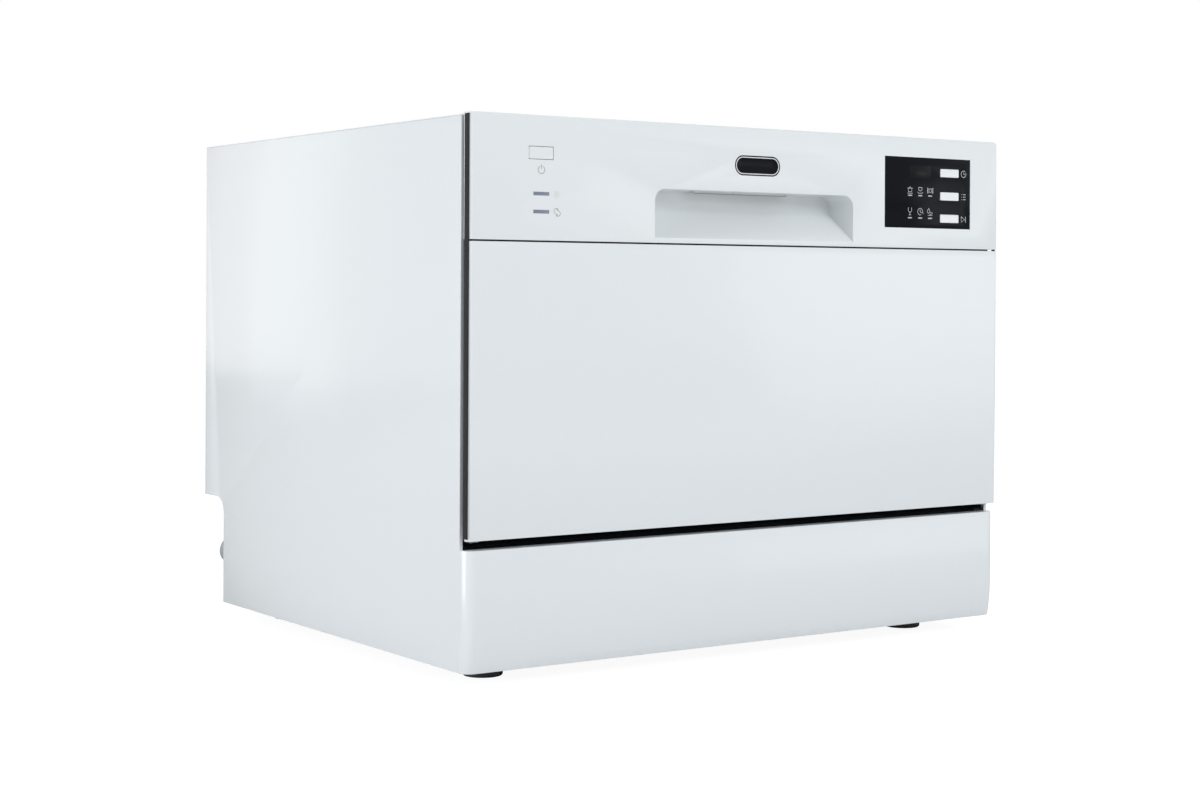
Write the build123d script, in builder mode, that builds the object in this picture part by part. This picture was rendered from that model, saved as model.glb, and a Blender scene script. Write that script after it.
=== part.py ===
from build123d import *
from math import asin, cos, degrees, pi, sin
import os

os.makedirs("parts", exist_ok=True)

# Every depth below, named ..._d or passed as d, is counted back from the front plane of the
# door.  X runs to the right seen from the front, Z up from the worktop, in millimetres.

# Overall
width = 550.0
height = 438.0
shell_depth = 484.0          # front plane to the rear edges of the side panels
inlet_reach = 16.0           # inlet thread standing out behind the side panels
panel_bottom = 14.0          # air under the case
running_gap = 0.3            # between pieces that move past each other

# Case
sheet = 0.8
panel_front_d = 12.8         # front edges of the side panels
flange = 12.0                # folded edges of the side panels
hem = 3.0                    # narrow fold at the front edge, clear of the hinge arms
cover_drop = 1.7             # cover lies this much below the top of the fascia
cover_front_lip = 5.0
cover_rear_lip = 14.0
recess_depth = 42.0          # rear recess for the hoses
recess_top = 110.5
notch_radius = 15.0
rear_fold = 14.0

# Base tray and feet
tray_wall = 2.5
tray_height = 24.0
post_radius = 9.0
post_front_x = 130.0
post_rear_x = 205.0
post_front_d = 70.0
post_rear_d = 400.0
foot_x = 222.0
foot_front_d = 66.0
foot_rear_d = 408.0
foot_radius = 16.0
foot_pad = 8.0
foot_hex = 7.0
foot_stem_radius = 4.0
foot_stem_top = 33.0
foot_boss = 9.0
foot_boss_height = 18.0
rear_peg_radius = 5.0
rear_peg_head = 7.0
rear_peg_head_height = 2.0
bore_clearance = 0.1

# Kickplate and sill
kick_front_d = 1.5
kick_top = 107.0
kick_wall = 2.0
kick_corner = 10.0
kick_curl = 3.5              # the lower edge curls back
kick_curl_height = 35.0
sill_wall = 2.0
sill_rise = 5.0
sill_back_step = 4.2
sill_drop = 7.0
sill_end_chamfer = 3.5

# Case screws
screw_radius = 2.0
screw_head_radius = 3.8
screw_head = 2.0
screw_length = 9.0
screw_inset = 7.0
side_screw_z = (135.0, 230.0, 325.0)
cover_screw_x = (-240.0, -80.0, 80.0, 240.0)
cover_screw_drop = 7.0

# Tub and its front frame
frame_front_d = 46.0
frame_wall = 3.0
frame_low = 107.0
frame_top_gap = 0.7          # under the side panels' top folds
tub_side_room = 24.2         # from the side panels to the inside of the tub
tub_floor = 131.0
tub_ceiling = 396.0
tub_dam = 4.0                # front lip above the tub floor
tub_back_d = 439.0
tub_sheet = 1.0
tub_corner = 20.0
hook_window_half = 7.0
hook_window_low = 406.5
hook_window_high = 424.0

# Door seals
seal_front_gap = 0.3         # the closed door only just touches
seal_inset = 2.0
seal_width = 9.0
seal_lower_z = 123.0
seal_lower_height = 9.0
seal_round = 1.2

# Door hinges
pivot_d = 9.0
pivot_z = 118.0
pin_radius = 3.0
boss_radius = 5.5
arm_thickness = 3.0
arm_gap = 0.5
bracket_thickness = 3.0
bracket_low = 112.3
bracket_high = 150.0
bracket_back_low_d = 22.0

# Door: outer panel, fascia and liner
door_low = 114.5
door_sheet = 0.8
door_return = 5.5
door_corner = 3.5
door_bow = 1.2               # the lower edge sits back by this much
seam_z = 340.3
seam_gap = 1.4
fascia_wall = 2.6
fascia_return = 8.5
fascia_top_return = 11.0
liner_inset = 12.2           # from the side panels
liner_back_d = 42.0
liner_sheet = 1.0
liner_low = 119.5
liner_high = 427.0
liner_flange = 1.0
liner_flange_inset = 1.7
liner_flange_low = 136.0     # clear of the hinges below this height
liner_top_flange = 2.0
liner_top_flange_inset = 1.2
liner_corner = 3.0
skin_rim = 8.0               # inward fold around the rear of the outer panel
hinge_notch_width = 8.0
hinge_notch_depth = 3.0

# Worked out from the above
front = -(shell_depth + inlet_reach) / 2
half = width / 2
inner_half = half - sheet
tub_half = inner_half - tub_side_room
liner_half = inner_half - liner_inset
liner_flange_half = inner_half - liner_flange_inset
liner_top_flange_half = inner_half - liner_top_flange_inset
cover_top = height - cover_drop
cover_bottom = cover_top - sheet
recess_d = shell_depth - recess_depth
tray_bottom = panel_bottom + sheet
tray_floor = tray_bottom + tray_wall
frame_back_d = frame_front_d + frame_wall
frame_top = cover_bottom - sheet - frame_top_gap
fascia_low = seam_z + seam_gap
liner_inner_d = liner_back_d - liner_sheet

# Rear fittings
inlet_x = -240.0
inlet_z = 54.0
inlet_body_radius = 15.0
inlet_thread_radius = 13.2   # three-quarter inch pipe thread, over its crests
inlet_thread_length = 16.0
inlet_bore = 8.0
inlet_flange = 3.0
inlet_flange_radius = 19.0
inlet_inner_reach = 26.0
coil_size = 22.0
drain_x = -170.0
drain_z = 80.0
drain_radius = 10.0
drain_reach = 30.0
drain_barb = 1.0
drain_flange_radius = 14.0
gland_x = -110.0
gland_z = 50.0
gland_radius = 8.0
gland_reach = 11.0
gland_bore = 3.8
gland_flange_radius = 12.0

# Sump, filters, heater and spray arm
sump_ahead = 1.0             # of the middle of the tub
sump_d = (frame_back_d + tub_back_d) / 2 - sump_ahead
sump_radius = 64.0
sump_wall = 2.5
sump_bottom = 62.0
sump_rim = 6.0
sump_rim_height = 3.0
sump_ledge = 5.5
sump_ledge_drop = 3.0
hub_radius = 11.0
hub_top = 146.0
hub_pin_height = 7.5
hub_bore = 8.0
cup_ahead = 33.0             # the filter cup stands in front of the hub
cup_d = sump_d - cup_ahead
cup_radius = 19.0
cup_wall = 1.5
cup_bottom = 74.0
mesh_thickness = 1.2
mesh_gap = 0.5
cup_rim = 2.0
cup_handle = 4.0
heater_radius = 118.0
heater_tube = 4.2
heater_z = 136.0
heater_gap = 14.0            # half the gap between the legs
heater_leg_bottom = 112.0
spray_low = 143.0
spray_reach = 182.0
spray_width = 30.0
spray_thickness = 9.0
spray_hub_radius = 20.0
spray_pin_radius = 5.5
jet_radius = 1.8
jet_count = 5

# Pumps and softener under the tub
pump_x = 105.0
pump_z = 76.0
pump_inlet_radius = 12.0
pump_outlet_radius = 8.0
pump_outlet_z = 111.0
pipe_wall = 2.0
stub_end_x = 80.0
pump_radius = 34.0
pump_length = 24.0
pump_wall = 2.5
motor_radius = 30.0
motor_length = 70.0
impeller_radius = 26.0
impeller_thickness = 10.0
impeller_vanes = 6
shaft_radius = 3.0
drain_run = 82.0             # from the sump
drain_pump_d = sump_d + drain_run
drain_inlet_radius = 9.0
drain_stub = 12.0
drain_socket = 6.0
drain_pump_radius = 22.0
drain_pump_length = 20.0
drain_motor_radius = 18.0
drain_motor_length = 34.0
drain_impeller_radius = 15.0
softener_x = -195.0
softener_d = 125.0
softener_radius = 46.0
softener_bottom = 34.0
softener_top = 118.0
softener_wall = 2.5
neck_radius = 24.0
neck_rise = 3.0
salt_cap_radius = 27.0
salt_cap_height = 8.0
salt_cap_plug = 12.0
grip_bar = 5.0

# Air break beside the tub, hoses
air_front_d = 190.0
air_back_d = 360.0
air_low = 190.0
air_high = 372.0
air_wall = 2.0
air_port_radius = 16.0
air_port_d = 275.0
air_port_z = 335.0
hose_radius = 8.0
hose_bore = 6.0
hose_bend = 24.0

# Latch and strike
strike_half = 22.0
strike_sheet = 1.5
strike_low = 411.0
strike_high = 432.0
strike_corner = 3.0
strike_screw_x = 15.0
strike_screw_z = 424.0
strike_screw_radius = 1.6
catch_z = 417.0
hook_half = 4.0
hook_pivot_d = 33.0
hook_pivot_z = 414.0
hook_pivot_radius = 2.0
hook_low = 411.5
hook_high = 416.0
hook_barb = 3.0
hook_tip_d = 53.0
hook_tail_d = 22.2
hook_leg = 2.0
hook_leg_low = 406.5
hook_tail_low = 411.5
finger_top = 409.5
paddle_half = 49.5
paddle_front_d = 24.0
paddle_thickness = 2.5
paddle_low = 383.3
paddle_pivot_d = 27.0
paddle_pivot_z = 402.0
paddle_barrel = 3.5
paddle_pin = 2.0
latch_half = 55.0
latch_cheek = 3.0
latch_front_d = 20.0
latch_low = 389.0
latch_high = 424.0
latch_plate = 2.5
hook_cheek_in = 7.0
hook_cheek = 2.0
slot_gap = 0.6
switch_x = (14.0, 34.0)
switch_d = (27.0, 40.5)
switch_z = (406.0, 419.0)

# Float
float_x = 185.0
float_d = 95.0
float_radius = 16.0
float_height = 20.0
float_stem_radius = 4.0
float_stem_bottom = 108.0

# Rack, rollers, shelf and cutlery basket
rail_z = 205.0
rail_back_d = 426.0
roller_radius = 11.0
roller_width = 8.0
roller_front_d = 84.0
roller_rear_d = 186.0
stud_radius = 3.0
stud_head_radius = 4.6
stud_head = 1.0
collar_radius = 5.0
collar_length = 10.7
rail_sheet = 1.5
rail_gap = 0.35
rack_front_d = 62.0
rack_floor = 171.0
rack_front_low = 196.0       # the front slopes up so that it clears the turning door
rack_slope_back_d = 102.0
rack_top = 292.0
wire = 1.9                   # radius of the rack wires
frame_wire = 2.6
floor_wires_along = 9
floor_wires_across = 9
tine_height = 62.0
tines_per_row = 8
shelf_depth = 86.0
shelf_length = 300.0
shelf_z = 300.0
shelf_wires = 9
cutlery_x = 142.0
cutlery_width = 74.0
cutlery_front_d = 120.0
cutlery_length = 210.0
cutlery_height = 112.0
cutlery_wall = 2.0
cutlery_cells = 4

heater_leg_d = sump_d - (heater_radius ** 2 - heater_gap ** 2) ** 0.5
rear_openings = (
    (inlet_x, inlet_z, inlet_body_radius),
    (drain_x, drain_z, drain_radius),
    (gland_x, gland_z, gland_radius),
)

# Grip pocket in the fascia
grip_half = 104.0
grip_top = 385.0
grip_low = 345.0
grip_depth = 33.0
grip_back_low = 371.0
grip_corner = 10.0
grip_wall = 2.0

# Controls: power button, display, keys, lenses and boards
power_x = (-222.5, -200.6)
power_z = (404.0, 413.5)
button_travel = 2.0
button_gap = 0.35
button_flange = 1.5
button_flange_d = 4.8        # front of the button's stop flange when at rest
button_flange_thickness = 1.5
button_stem = 3.0
button_top_corner = 0.8
display_x = (139.7, 240.9)
display_z = (359.1, 420.7)
display_face_d = 0.3
display_thickness = 1.2
key_x = (205.0, 227.0)
key_height = 7.2
key_centre_z = (408.0, 387.6, 368.0)
key_travel = 1.5
key_names = ("timer_key", "program_key", "start_key")
lens_x = (-218.6, -204.0)
lens_height = 2.8
lens_z = (377.5, 363.7)
lens_face_d = 0.2
lens_end_d = 9.0
board_d = 12.0
board_thickness = 1.6
main_board_x = (130.0, 252.0)
main_board_z = (354.0, 424.0)
power_board_x = (-236.0, -188.0)
power_board_z = (356.0, 424.0)
board_post_radius = 3.0
board_post_inset = 5.0
badge_half = 23.7
badge_z = (398.3, 414.8)
badge_depth = 1.2
badge_rim = 1.2
badge_rim_proud = 0.3

# Detergent dispenser on the inside of the door
dispenser_half = 82.0
dispenser_z = (236.0, 326.0)
dispenser_plate = 1.5
dispenser_box_half = 78.0
dispenser_box_z = (241.0, 321.0)
dispenser_box_front_d = 18.0
dispenser_corner = 8.0
cup_x = (-75.0, -21.0)
detergent_cup_z = (257.0, 308.0)
detergent_cup_front_d = 24.0
detergent_cup_corner = 9.0
lid_x = (-79.0, -17.0)
lid_z = (253.0, 312.0)
lid_thickness = 3.0
lid_travel = 50.0
lid_grip = 3.0
guide_width = 3.0
guide_lip = 2.0
guide_lip_thickness = 1.2
rinse_x = 58.0
rinse_z = 290.0
rinse_cap_radius = 15.0
rinse_cap_height = 5.0
rinse_bar_half = 12.75
rinse_plug_radius = 9.8
rinse_plug_depth = 8.0

# Hinge arms
arm_front_d = 12.0
arm_back_d = 30.0
arm_low = 127.0
arm_high = 250.0
arm_end_radius = 3.0
liner_foot_inset = 14.0
fascia_round = 3.0
board_part = 9.0
board_part_depth = 8.0
board_parts = ((150.0, 400.0), (175.0, 362.0), (190.0, 400.0), (232.0, 372.0), (-215.0, 385.0))
hook_wall = 2.2
hook_slot_drop = 3.5
finger_depth = 3.0

# Smaller features of the wash system
sump_round = 6.0
mesh_hole = 2.0
mesh_hole_ring = 44.0
mesh_holes = 28
cup_slots = 10
cup_slot = 3.0
heater_plate = 2.0
spray_tip = 11.0
spray_round = 2.5
spray_dome = 4.0
jet_pitch = 30.0
jet_depth = 3.0
shaft_depth = 22.0
impeller_gap = 2.0
spigot_tail = 16.0
drain_push = 20.0            # how far the outer hose goes on
hose_run = 55.0
air_thickness = 19.0
air_rib_pitch = 50.0

# Smaller features of the rack
roller_round = 0.8
roller_holes = 5
roller_hole = 1.6
roller_hole_ring = 7.0
rail_side_gap = 0.5
wire_bend = 9.0
tine_first_x = -170.0
tine_last_x = 104.0
tine_pitch_x = (tine_last_x - tine_first_x) / (tines_per_row - 1)
tine_row_d = (165.0, 245.0, 325.0)
shelf_rod = 2.4
shelf_clip_d = (112.0, 372.0)
clip_half = 3.6
clip_length = 6.0
basket_corner = 6.0
slot_pitch = 12.0
slot_half = 3.2
slot_low = 10.0
bow_half = 2.5
bow_inset = 62.0
bow_rise = 22.0

# Small shares and edges
small_edge = 1.0
plunger_x = (17.0, 21.0)     # door switch's plunger
plunger_z = (408.0, 417.0)
plunger_reach = 1.5
cup_slot_share = 0.7         # height of the filter cup's slots
jet_first = 21.0
vane_place = 0.55            # pump vanes, as shares of the wheel's radius
vane_length = 0.8
vane_thickness = 1.6
cap_bar_share = 0.85
tine_round = 1.2
divider_share = 0.7          # height of the cutlery basket's dividers
bow_low_share = 0.6


def block(x, d, z, mode=Mode.ADD):
    """Square block between two limits along each axis, its depths counted from the front."""
    middle = ((x[0] + x[1]) / 2, front + (d[0] + d[1]) / 2, (z[0] + z[1]) / 2)
    with Locations(middle):
        Box(x[1] - x[0], d[1] - d[0], z[1] - z[0], mode=mode)


def rod_x(radius, x, d, z, mode=Mode.ADD):
    """Round bar along X."""
    with Locations(((x[0] + x[1]) / 2, front + d, z)):
        Cylinder(radius, x[1] - x[0], rotation=(0, 90, 0), mode=mode)


def rod_y(radius, x, d, z, mode=Mode.ADD):
    """Round bar along Y, between two depths."""
    with Locations((x, front + (d[0] + d[1]) / 2, z)):
        Cylinder(radius, d[1] - d[0], rotation=(90, 0, 0), mode=mode)


def rod_z(radius, x, d, z, mode=Mode.ADD):
    """Upright round bar."""
    with Locations((x, front + d, (z[0] + z[1]) / 2)):
        Cylinder(radius, z[1] - z[0], mode=mode)


def finish(piece, name):
    """Label a finished piece and write it."""
    piece.part.label = name
    export_step(piece.part, f"parts/{name}.step")


def gather(groups, name):
    """Write solids that touch each other as one piece, and return it."""
    piece = Compound([solid for group in groups for solid in group.solids()])
    piece.label = name
    export_step(piece, f"parts/{name}.step")
    return piece


def case_side(inset):
    """Side view of the case in depth and height, drawn in by the inset all round."""
    front_y = front + panel_front_d + inset
    recess_y = front + recess_d - inset
    rear_y = front + shell_depth - inset
    low = panel_bottom + inset
    shelf = recess_top + inset
    high = cover_bottom - inset
    with BuildSketch() as view:
        with BuildLine():
            Polyline(
                (front_y, low),
                (recess_y, low),
                (recess_y, shelf),
                (rear_y, shelf),
                (rear_y, high),
                (front_y, high),
                close=True,
            )
        make_face()
        fillet(view.vertices().sort_by_distance((recess_y, shelf))[0], notch_radius + inset)
    return view.sketch


def bowed_front(low, high, front_d, low_d, curl_height, back_d):
    """Side view of a front panel: upright above, its lowest stretch curling back to low_d."""
    with BuildSketch() as view:
        with BuildLine():
            upright = Line((front + front_d, high), (front + front_d, low + curl_height))
            TangentArc(upright @ 1, (front + low_d, low), tangent=upright % 1)
            Polyline((front + low_d, low), (front + back_d, low), (front + back_d, high),
                     (front + front_d, high))
        make_face()
    return view.sketch


# Side panels: pressed pans with folded edges, stepped in at the lower rear for the hoses
with BuildPart() as left_side_panel:
    with BuildSketch(Plane.YZ.offset(-half)):
        add(case_side(0))
    extrude(amount=flange)
    with BuildSketch(Plane.YZ.offset(-inner_half)):
        add(case_side(sheet))
    extrude(amount=flange, mode=Mode.SUBTRACT)
    block(
        (-half + hem, -half + flange),
        (panel_front_d, panel_front_d + sheet),
        (panel_bottom, cover_bottom),
        mode=Mode.SUBTRACT,
    )
    for z in side_screw_z:
        rod_y(screw_radius, -half + screw_inset, (shell_depth - 2 * sheet, shell_depth), z,
              mode=Mode.SUBTRACT)
finish(left_side_panel, "left_side_panel")

with BuildPart() as right_side_panel:
    mirror(left_side_panel.part, about=Plane.YZ)
finish(right_side_panel, "right_side_panel")

# Top cover: a flat sheet on the side panels' folds, with a lip down at the front and rear
with BuildPart() as top_cover:
    block((-half, half), (panel_front_d, shell_depth + sheet), (cover_bottom, cover_top))
    lip_half = half - hem - running_gap
    block(
        (-lip_half, lip_half),
        (panel_front_d, panel_front_d + sheet),
        (cover_bottom - cover_front_lip, cover_bottom),
    )
    block(
        (-lip_half, lip_half),
        (shell_depth, shell_depth + sheet),
        (cover_bottom - cover_rear_lip, cover_bottom),
    )
    for x in cover_screw_x:
        rod_y(screw_radius, x, (shell_depth, shell_depth + sheet),
              cover_bottom - cover_screw_drop, mode=Mode.SUBTRACT)
    fillet(top_cover.edges().filter_by(Axis.Y).group_by(Axis.Z)[-1], sheet / 2)
finish(top_cover, "top_cover")

# Rear panel: one bent sheet inside the side panels' rear folds, with openings for the fittings
with BuildPart() as rear_panel:
    with BuildSketch(Plane.YZ.offset(-inner_half)):
        add(case_side(sheet))
        add(case_side(2 * sheet), mode=Mode.SUBTRACT)
    extrude(amount=2 * inner_half)
    block(
        (-inner_half, inner_half),
        (0, recess_d - 2 * sheet - rear_fold),
        (panel_bottom, cover_bottom),
        mode=Mode.SUBTRACT,
    )
    block(
        (-inner_half, inner_half),
        (0, shell_depth - rear_fold),
        (recess_top + notch_radius, cover_bottom),
        mode=Mode.SUBTRACT,
    )
    block(
        (-inner_half, inner_half),
        (0, recess_d - 2 * sheet),
        (panel_bottom, tray_floor),
        mode=Mode.SUBTRACT,
    )
    rear_plate = (shell_depth - 2 * sheet, shell_depth - sheet)
    for z in side_screw_z:
        for side in (-1, 1):
            rod_y(screw_radius, side * (half - screw_inset), rear_plate, z, mode=Mode.SUBTRACT)
    for x in cover_screw_x:
        rod_y(screw_radius, x, rear_plate, cover_bottom - cover_screw_drop, mode=Mode.SUBTRACT)
    recess_plate = (recess_d - 2 * sheet, recess_d - sheet)
    for x, z, radius in rear_openings:
        rod_y(radius, x, recess_plate, z, mode=Mode.SUBTRACT)
finish(rear_panel, "rear_panel")

# Base tray: a drip tray with posts that carry the tub and bosses for the feet
tray_front_d = panel_front_d + sheet
tray_back_d = recess_d - 2 * sheet
tub_underside = tub_floor - tub_sheet
post_places = [
    (side * x, d)
    for side in (-1, 1)
    for x, d in ((post_front_x, post_front_d), (post_rear_x, post_rear_d))
]
with BuildPart() as base_tray:
    block((-inner_half, inner_half), (tray_front_d, tray_back_d),
          (tray_bottom, tray_bottom + tray_height))
    fillet(base_tray.edges().filter_by(Axis.Z), tray_wall)
    block(
        (-inner_half + tray_wall, inner_half - tray_wall),
        (tray_front_d + tray_wall, tray_back_d - tray_wall),
        (tray_floor, tray_bottom + tray_height),
        mode=Mode.SUBTRACT,
    )
    for x, d in post_places:
        rod_z(post_radius, x, d, (tray_bottom, tub_underside))
        rod_z(post_radius - tray_wall, x, d, (tray_floor, tub_underside), mode=Mode.SUBTRACT)
    for side in (-1, 1):
        rod_z(foot_boss, side * foot_x, foot_front_d, (tray_bottom, tray_bottom + foot_boss_height))
        rod_z(foot_stem_radius + bore_clearance, side * foot_x, foot_front_d,
              (tray_bottom, tray_bottom + foot_boss_height), mode=Mode.SUBTRACT)
        rod_z(rear_peg_radius, side * foot_x, foot_rear_d, (tray_bottom, tray_floor),
              mode=Mode.SUBTRACT)
    tray_inner = tray_back_d - tray_wall
    for x, z, radius in rear_openings:
        if z - radius < tray_bottom + tray_height:
            rod_y(radius, x, (tray_inner, tray_back_d), z, mode=Mode.SUBTRACT)
finish(base_tray, "base_tray")

# Kickplate: a shallow cap open to the rear, rounded at its corners and curled back below
with BuildPart() as kickplate:
    with BuildSketch(Plane.YZ.offset(-half)):
        add(bowed_front(panel_bottom, kick_top, kick_front_d, kick_front_d + kick_curl,
                        kick_curl_height, panel_front_d))
    extrude(amount=width)
    kick_edges = kickplate.edges().filter_by(lambda e: abs(e.tangent_at(0.5).X) < 0.01)
    kick_edges = [e for e in kick_edges if e.center().Y < front + panel_front_d / 2
                  and abs(e.tangent_at(0.5).Z) > 0.7]
    fillet(kick_edges, kick_corner)
    kick_rear = kickplate.faces().sort_by(Axis.Y)[-1]
    offset(amount=-kick_wall, openings=kick_rear)
finish(kickplate, "kickplate")

# Sill trim: the dark strip between the kickplate and the door, its face leaning back
sill_half = half - hem - running_gap
sill_top = kick_top + sill_rise
with BuildPart() as sill_trim:
    with BuildSketch(Plane.YZ.offset(-sill_half)):
        with BuildLine():
            Polyline(
                (front + panel_front_d, kick_top - sill_drop),
                (front + panel_front_d, kick_top),
                (front + panel_front_d + sill_back_step, sill_top),
                (front + frame_front_d, sill_top),
                (front + frame_front_d, sill_top - sill_wall),
                (front + panel_front_d + sill_back_step + sill_wall / 2, sill_top - sill_wall),
                (front + panel_front_d + sill_wall, kick_top - sill_wall / 2),
                (front + panel_front_d + sill_wall, kick_top - sill_drop),
                close=True,
            )
        make_face()
    extrude(amount=2 * sill_half)
    for side in (-1, 1):
        with BuildSketch(Plane.XY.offset(kick_top - sill_drop)):
            with BuildLine():
                corner = (side * sill_half, front + panel_front_d)
                Polyline(
                    corner,
                    (corner[0] - side * sill_end_chamfer, corner[1]),
                    (corner[0], corner[1] + sill_end_chamfer),
                    close=True,
                )
            make_face()
        extrude(amount=sill_drop + sill_rise, mode=Mode.SUBTRACT)
finish(sill_trim, "sill_trim")


def front_foot(side):
    """Adjustable foot: a pad and hexagon on a threaded stem."""
    with BuildPart() as foot:
        rod_z(foot_radius, side * foot_x, foot_front_d, (0, foot_pad))
        chamfer(foot.edges().sort_by(Axis.Z)[0], small_edge)
        with BuildSketch(Plane.XY.offset(foot_pad)):
            with Locations((side * foot_x, front + foot_front_d)):
                RegularPolygon(foot_hex, 6)
        extrude(amount=foot_hex / 2)
        rod_z(foot_stem_radius, side * foot_x, foot_front_d, (foot_pad, foot_stem_top))
    return foot


# Front feet: they screw up and down in the tray's bosses
front_foot_left = front_foot(-1)
finish(front_foot_left, "front_foot_left")
front_foot_right = front_foot(1)
finish(front_foot_right, "front_foot_right")

# Rear feet: plain pads held by snap pegs
with BuildPart() as rear_feet:
    for side in (-1, 1):
        rod_z(foot_radius, side * foot_x, foot_rear_d, (0, tray_bottom))
        rod_z(rear_peg_radius, side * foot_x, foot_rear_d, (tray_bottom, tray_floor))
        rod_z(rear_peg_head, side * foot_x, foot_rear_d,
              (tray_floor, tray_floor + rear_peg_head_height))
    chamfer(rear_feet.edges().group_by(Axis.Z)[0], small_edge)
finish(rear_feet, "rear_feet")

# Case screws: pan heads through the rear folds and through the cover's rear lip
with BuildPart() as case_screws:
    for z in side_screw_z:
        for side in (-1, 1):
            x = side * (half - screw_inset)
            rod_y(screw_radius, x, (shell_depth - screw_length, shell_depth), z)
            rod_y(screw_head_radius, x, (shell_depth, shell_depth + screw_head), z)
    for x in cover_screw_x:
        z = cover_bottom - cover_screw_drop
        rod_y(screw_radius, x, (shell_depth + sheet - screw_length, shell_depth + sheet), z)
        rod_y(screw_head_radius, x, (shell_depth + sheet, shell_depth + sheet + screw_head), z)
finish(case_screws, "case_screws")

# Tub frame: the ring that stiffens the mouth of the tub and ties the side panels together
with BuildPart() as tub_frame:
    block((-inner_half, inner_half), (frame_front_d, frame_back_d), (frame_low, frame_top))
    with BuildSketch(Plane.XZ.offset(-(front + frame_front_d))):
        with Locations((0, (tub_floor + tub_dam + tub_ceiling) / 2)):
            RectangleRounded(2 * tub_half, tub_ceiling - tub_floor - tub_dam, tub_corner)
    extrude(amount=-frame_wall, mode=Mode.SUBTRACT)
    block((-hook_window_half, hook_window_half), (frame_front_d, frame_back_d),
          (hook_window_low, hook_window_high), mode=Mode.SUBTRACT)
finish(tub_frame, "tub_frame")

# Tub: a pressed steel box, open to the front, with studs for the rack rollers welded to its
# walls
roller_out_x = tub_half - collar_length - running_gap
roller_in_x = roller_out_x - roller_width
stud_tip_x = roller_in_x - running_gap - stud_head
floor_sheet = (tub_underside, tub_floor)
with BuildPart() as tub_box:
    with BuildSketch(Plane.XZ.offset(-(front + frame_back_d))):
        with Locations((0, (tub_floor + tub_ceiling) / 2)):
            RectangleRounded(2 * tub_half, tub_ceiling - tub_floor, tub_corner)
    extrude(amount=-(tub_back_d - frame_back_d))
    fillet(tub_box.faces().sort_by(Axis.Y)[-1].edges(), tub_corner / 2)
    offset(amount=tub_sheet, openings=tub_box.faces().sort_by(Axis.Y)[0])
    rod_z(sump_radius - sump_wall, 0, sump_d, floor_sheet, mode=Mode.SUBTRACT)
    rod_z(neck_radius, softener_x, softener_d, floor_sheet, mode=Mode.SUBTRACT)
    rod_z(float_stem_radius + running_gap, float_x, float_d, floor_sheet, mode=Mode.SUBTRACT)
    for side in (-1, 1):
        rod_z(heater_tube, side * heater_gap, heater_leg_d, floor_sheet, mode=Mode.SUBTRACT)
    rod_x(air_port_radius, (-tub_half - tub_sheet, -tub_half), air_port_d, air_port_z,
          mode=Mode.SUBTRACT)
with BuildPart() as roller_studs:
    for side in (-1, 1):
        for d in (roller_front_d, roller_rear_d):
            rod_x(collar_radius, sorted((side * tub_half, side * (tub_half - collar_length))),
                  d, rail_z)
            rod_x(stud_radius, sorted((side * tub_half, side * stud_tip_x)), d, rail_z)
            rod_x(stud_head_radius,
                  sorted((side * stud_tip_x, side * (stud_tip_x + stud_head))), d, rail_z)
tub = gather([tub_box.part, roller_studs.part], "tub")

# Door seals: a rubber frame up the sides and over the top, and a separate strip below
seal_front_d = liner_back_d + seal_front_gap
seal_half = tub_half + seal_inset
seal_top = tub_ceiling + seal_inset + seal_width / 2
seal_foot = seal_lower_z + seal_lower_height + seal_width / 2
with BuildPart() as door_seals:
    with BuildSketch(Plane.XZ.offset(-(front + seal_front_d))):
        with BuildLine():
            FilletPolyline(
                (-seal_half - seal_width / 2, seal_foot),
                (-seal_half - seal_width / 2, seal_top),
                (seal_half + seal_width / 2, seal_top),
                (seal_half + seal_width / 2, seal_foot),
                radius=tub_corner,
            )
        trace(line_width=seal_width)
    extrude(amount=-(frame_front_d - seal_front_d))
    fillet(door_seals.faces().sort_by(Axis.Y)[0].edges(), seal_round)
    block((-tub_half, tub_half), (seal_front_d, frame_front_d),
          (seal_lower_z, seal_lower_z + seal_lower_height))
finish(door_seals, "door_seals")

# Strike plate: the hook catches behind its upper edge
with BuildPart() as strike_plate:
    block((-strike_half, strike_half), (frame_front_d - strike_sheet, frame_front_d),
          (strike_low, strike_high))
    fillet(strike_plate.edges().filter_by(Axis.Y), strike_corner)
    block((-hook_window_half, hook_window_half), (frame_front_d - strike_sheet, frame_front_d),
          (strike_low, catch_z), mode=Mode.SUBTRACT)
    with Locations(*[Plane((x, front + frame_front_d - strike_sheet, strike_screw_z),
                           x_dir=(1, 0, 0), z_dir=(0, -1, 0))
                     for x in (-strike_screw_x, strike_screw_x)]):
        CounterSinkHole(strike_screw_radius, 2 * strike_screw_radius)
finish(strike_plate, "strike_plate")




# Hinge brackets: a plate and a foot against the tub frame, with the pivot pin riveted in
bracket_in_x = liner_half + arm_thickness + arm_gap
bracket_out_x = bracket_in_x + bracket_thickness
with BuildPart() as hinge_brackets:
    with BuildSketch(Plane.YZ.offset(bracket_in_x)):
        with BuildLine():
            Polyline(
                (front + bracket_back_low_d, bracket_low),
                (front + frame_front_d, bracket_low),
                (front + frame_front_d, bracket_high),
                (front + bracket_back_low_d, bracket_high),
                close=True,
            )
        make_face()
        with Locations((front + pivot_d, pivot_z)):
            Circle(boss_radius)
        make_hull()
    extrude(amount=bracket_thickness)
    block((bracket_in_x, inner_half - arm_gap),
          (frame_front_d - bracket_thickness, frame_front_d), (bracket_low, bracket_high))
    rod_x(pin_radius, (liner_half, bracket_out_x), pivot_d, pivot_z)
    mirror(about=Plane.YZ)
finish(hinge_brackets, "hinge_brackets")

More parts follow.
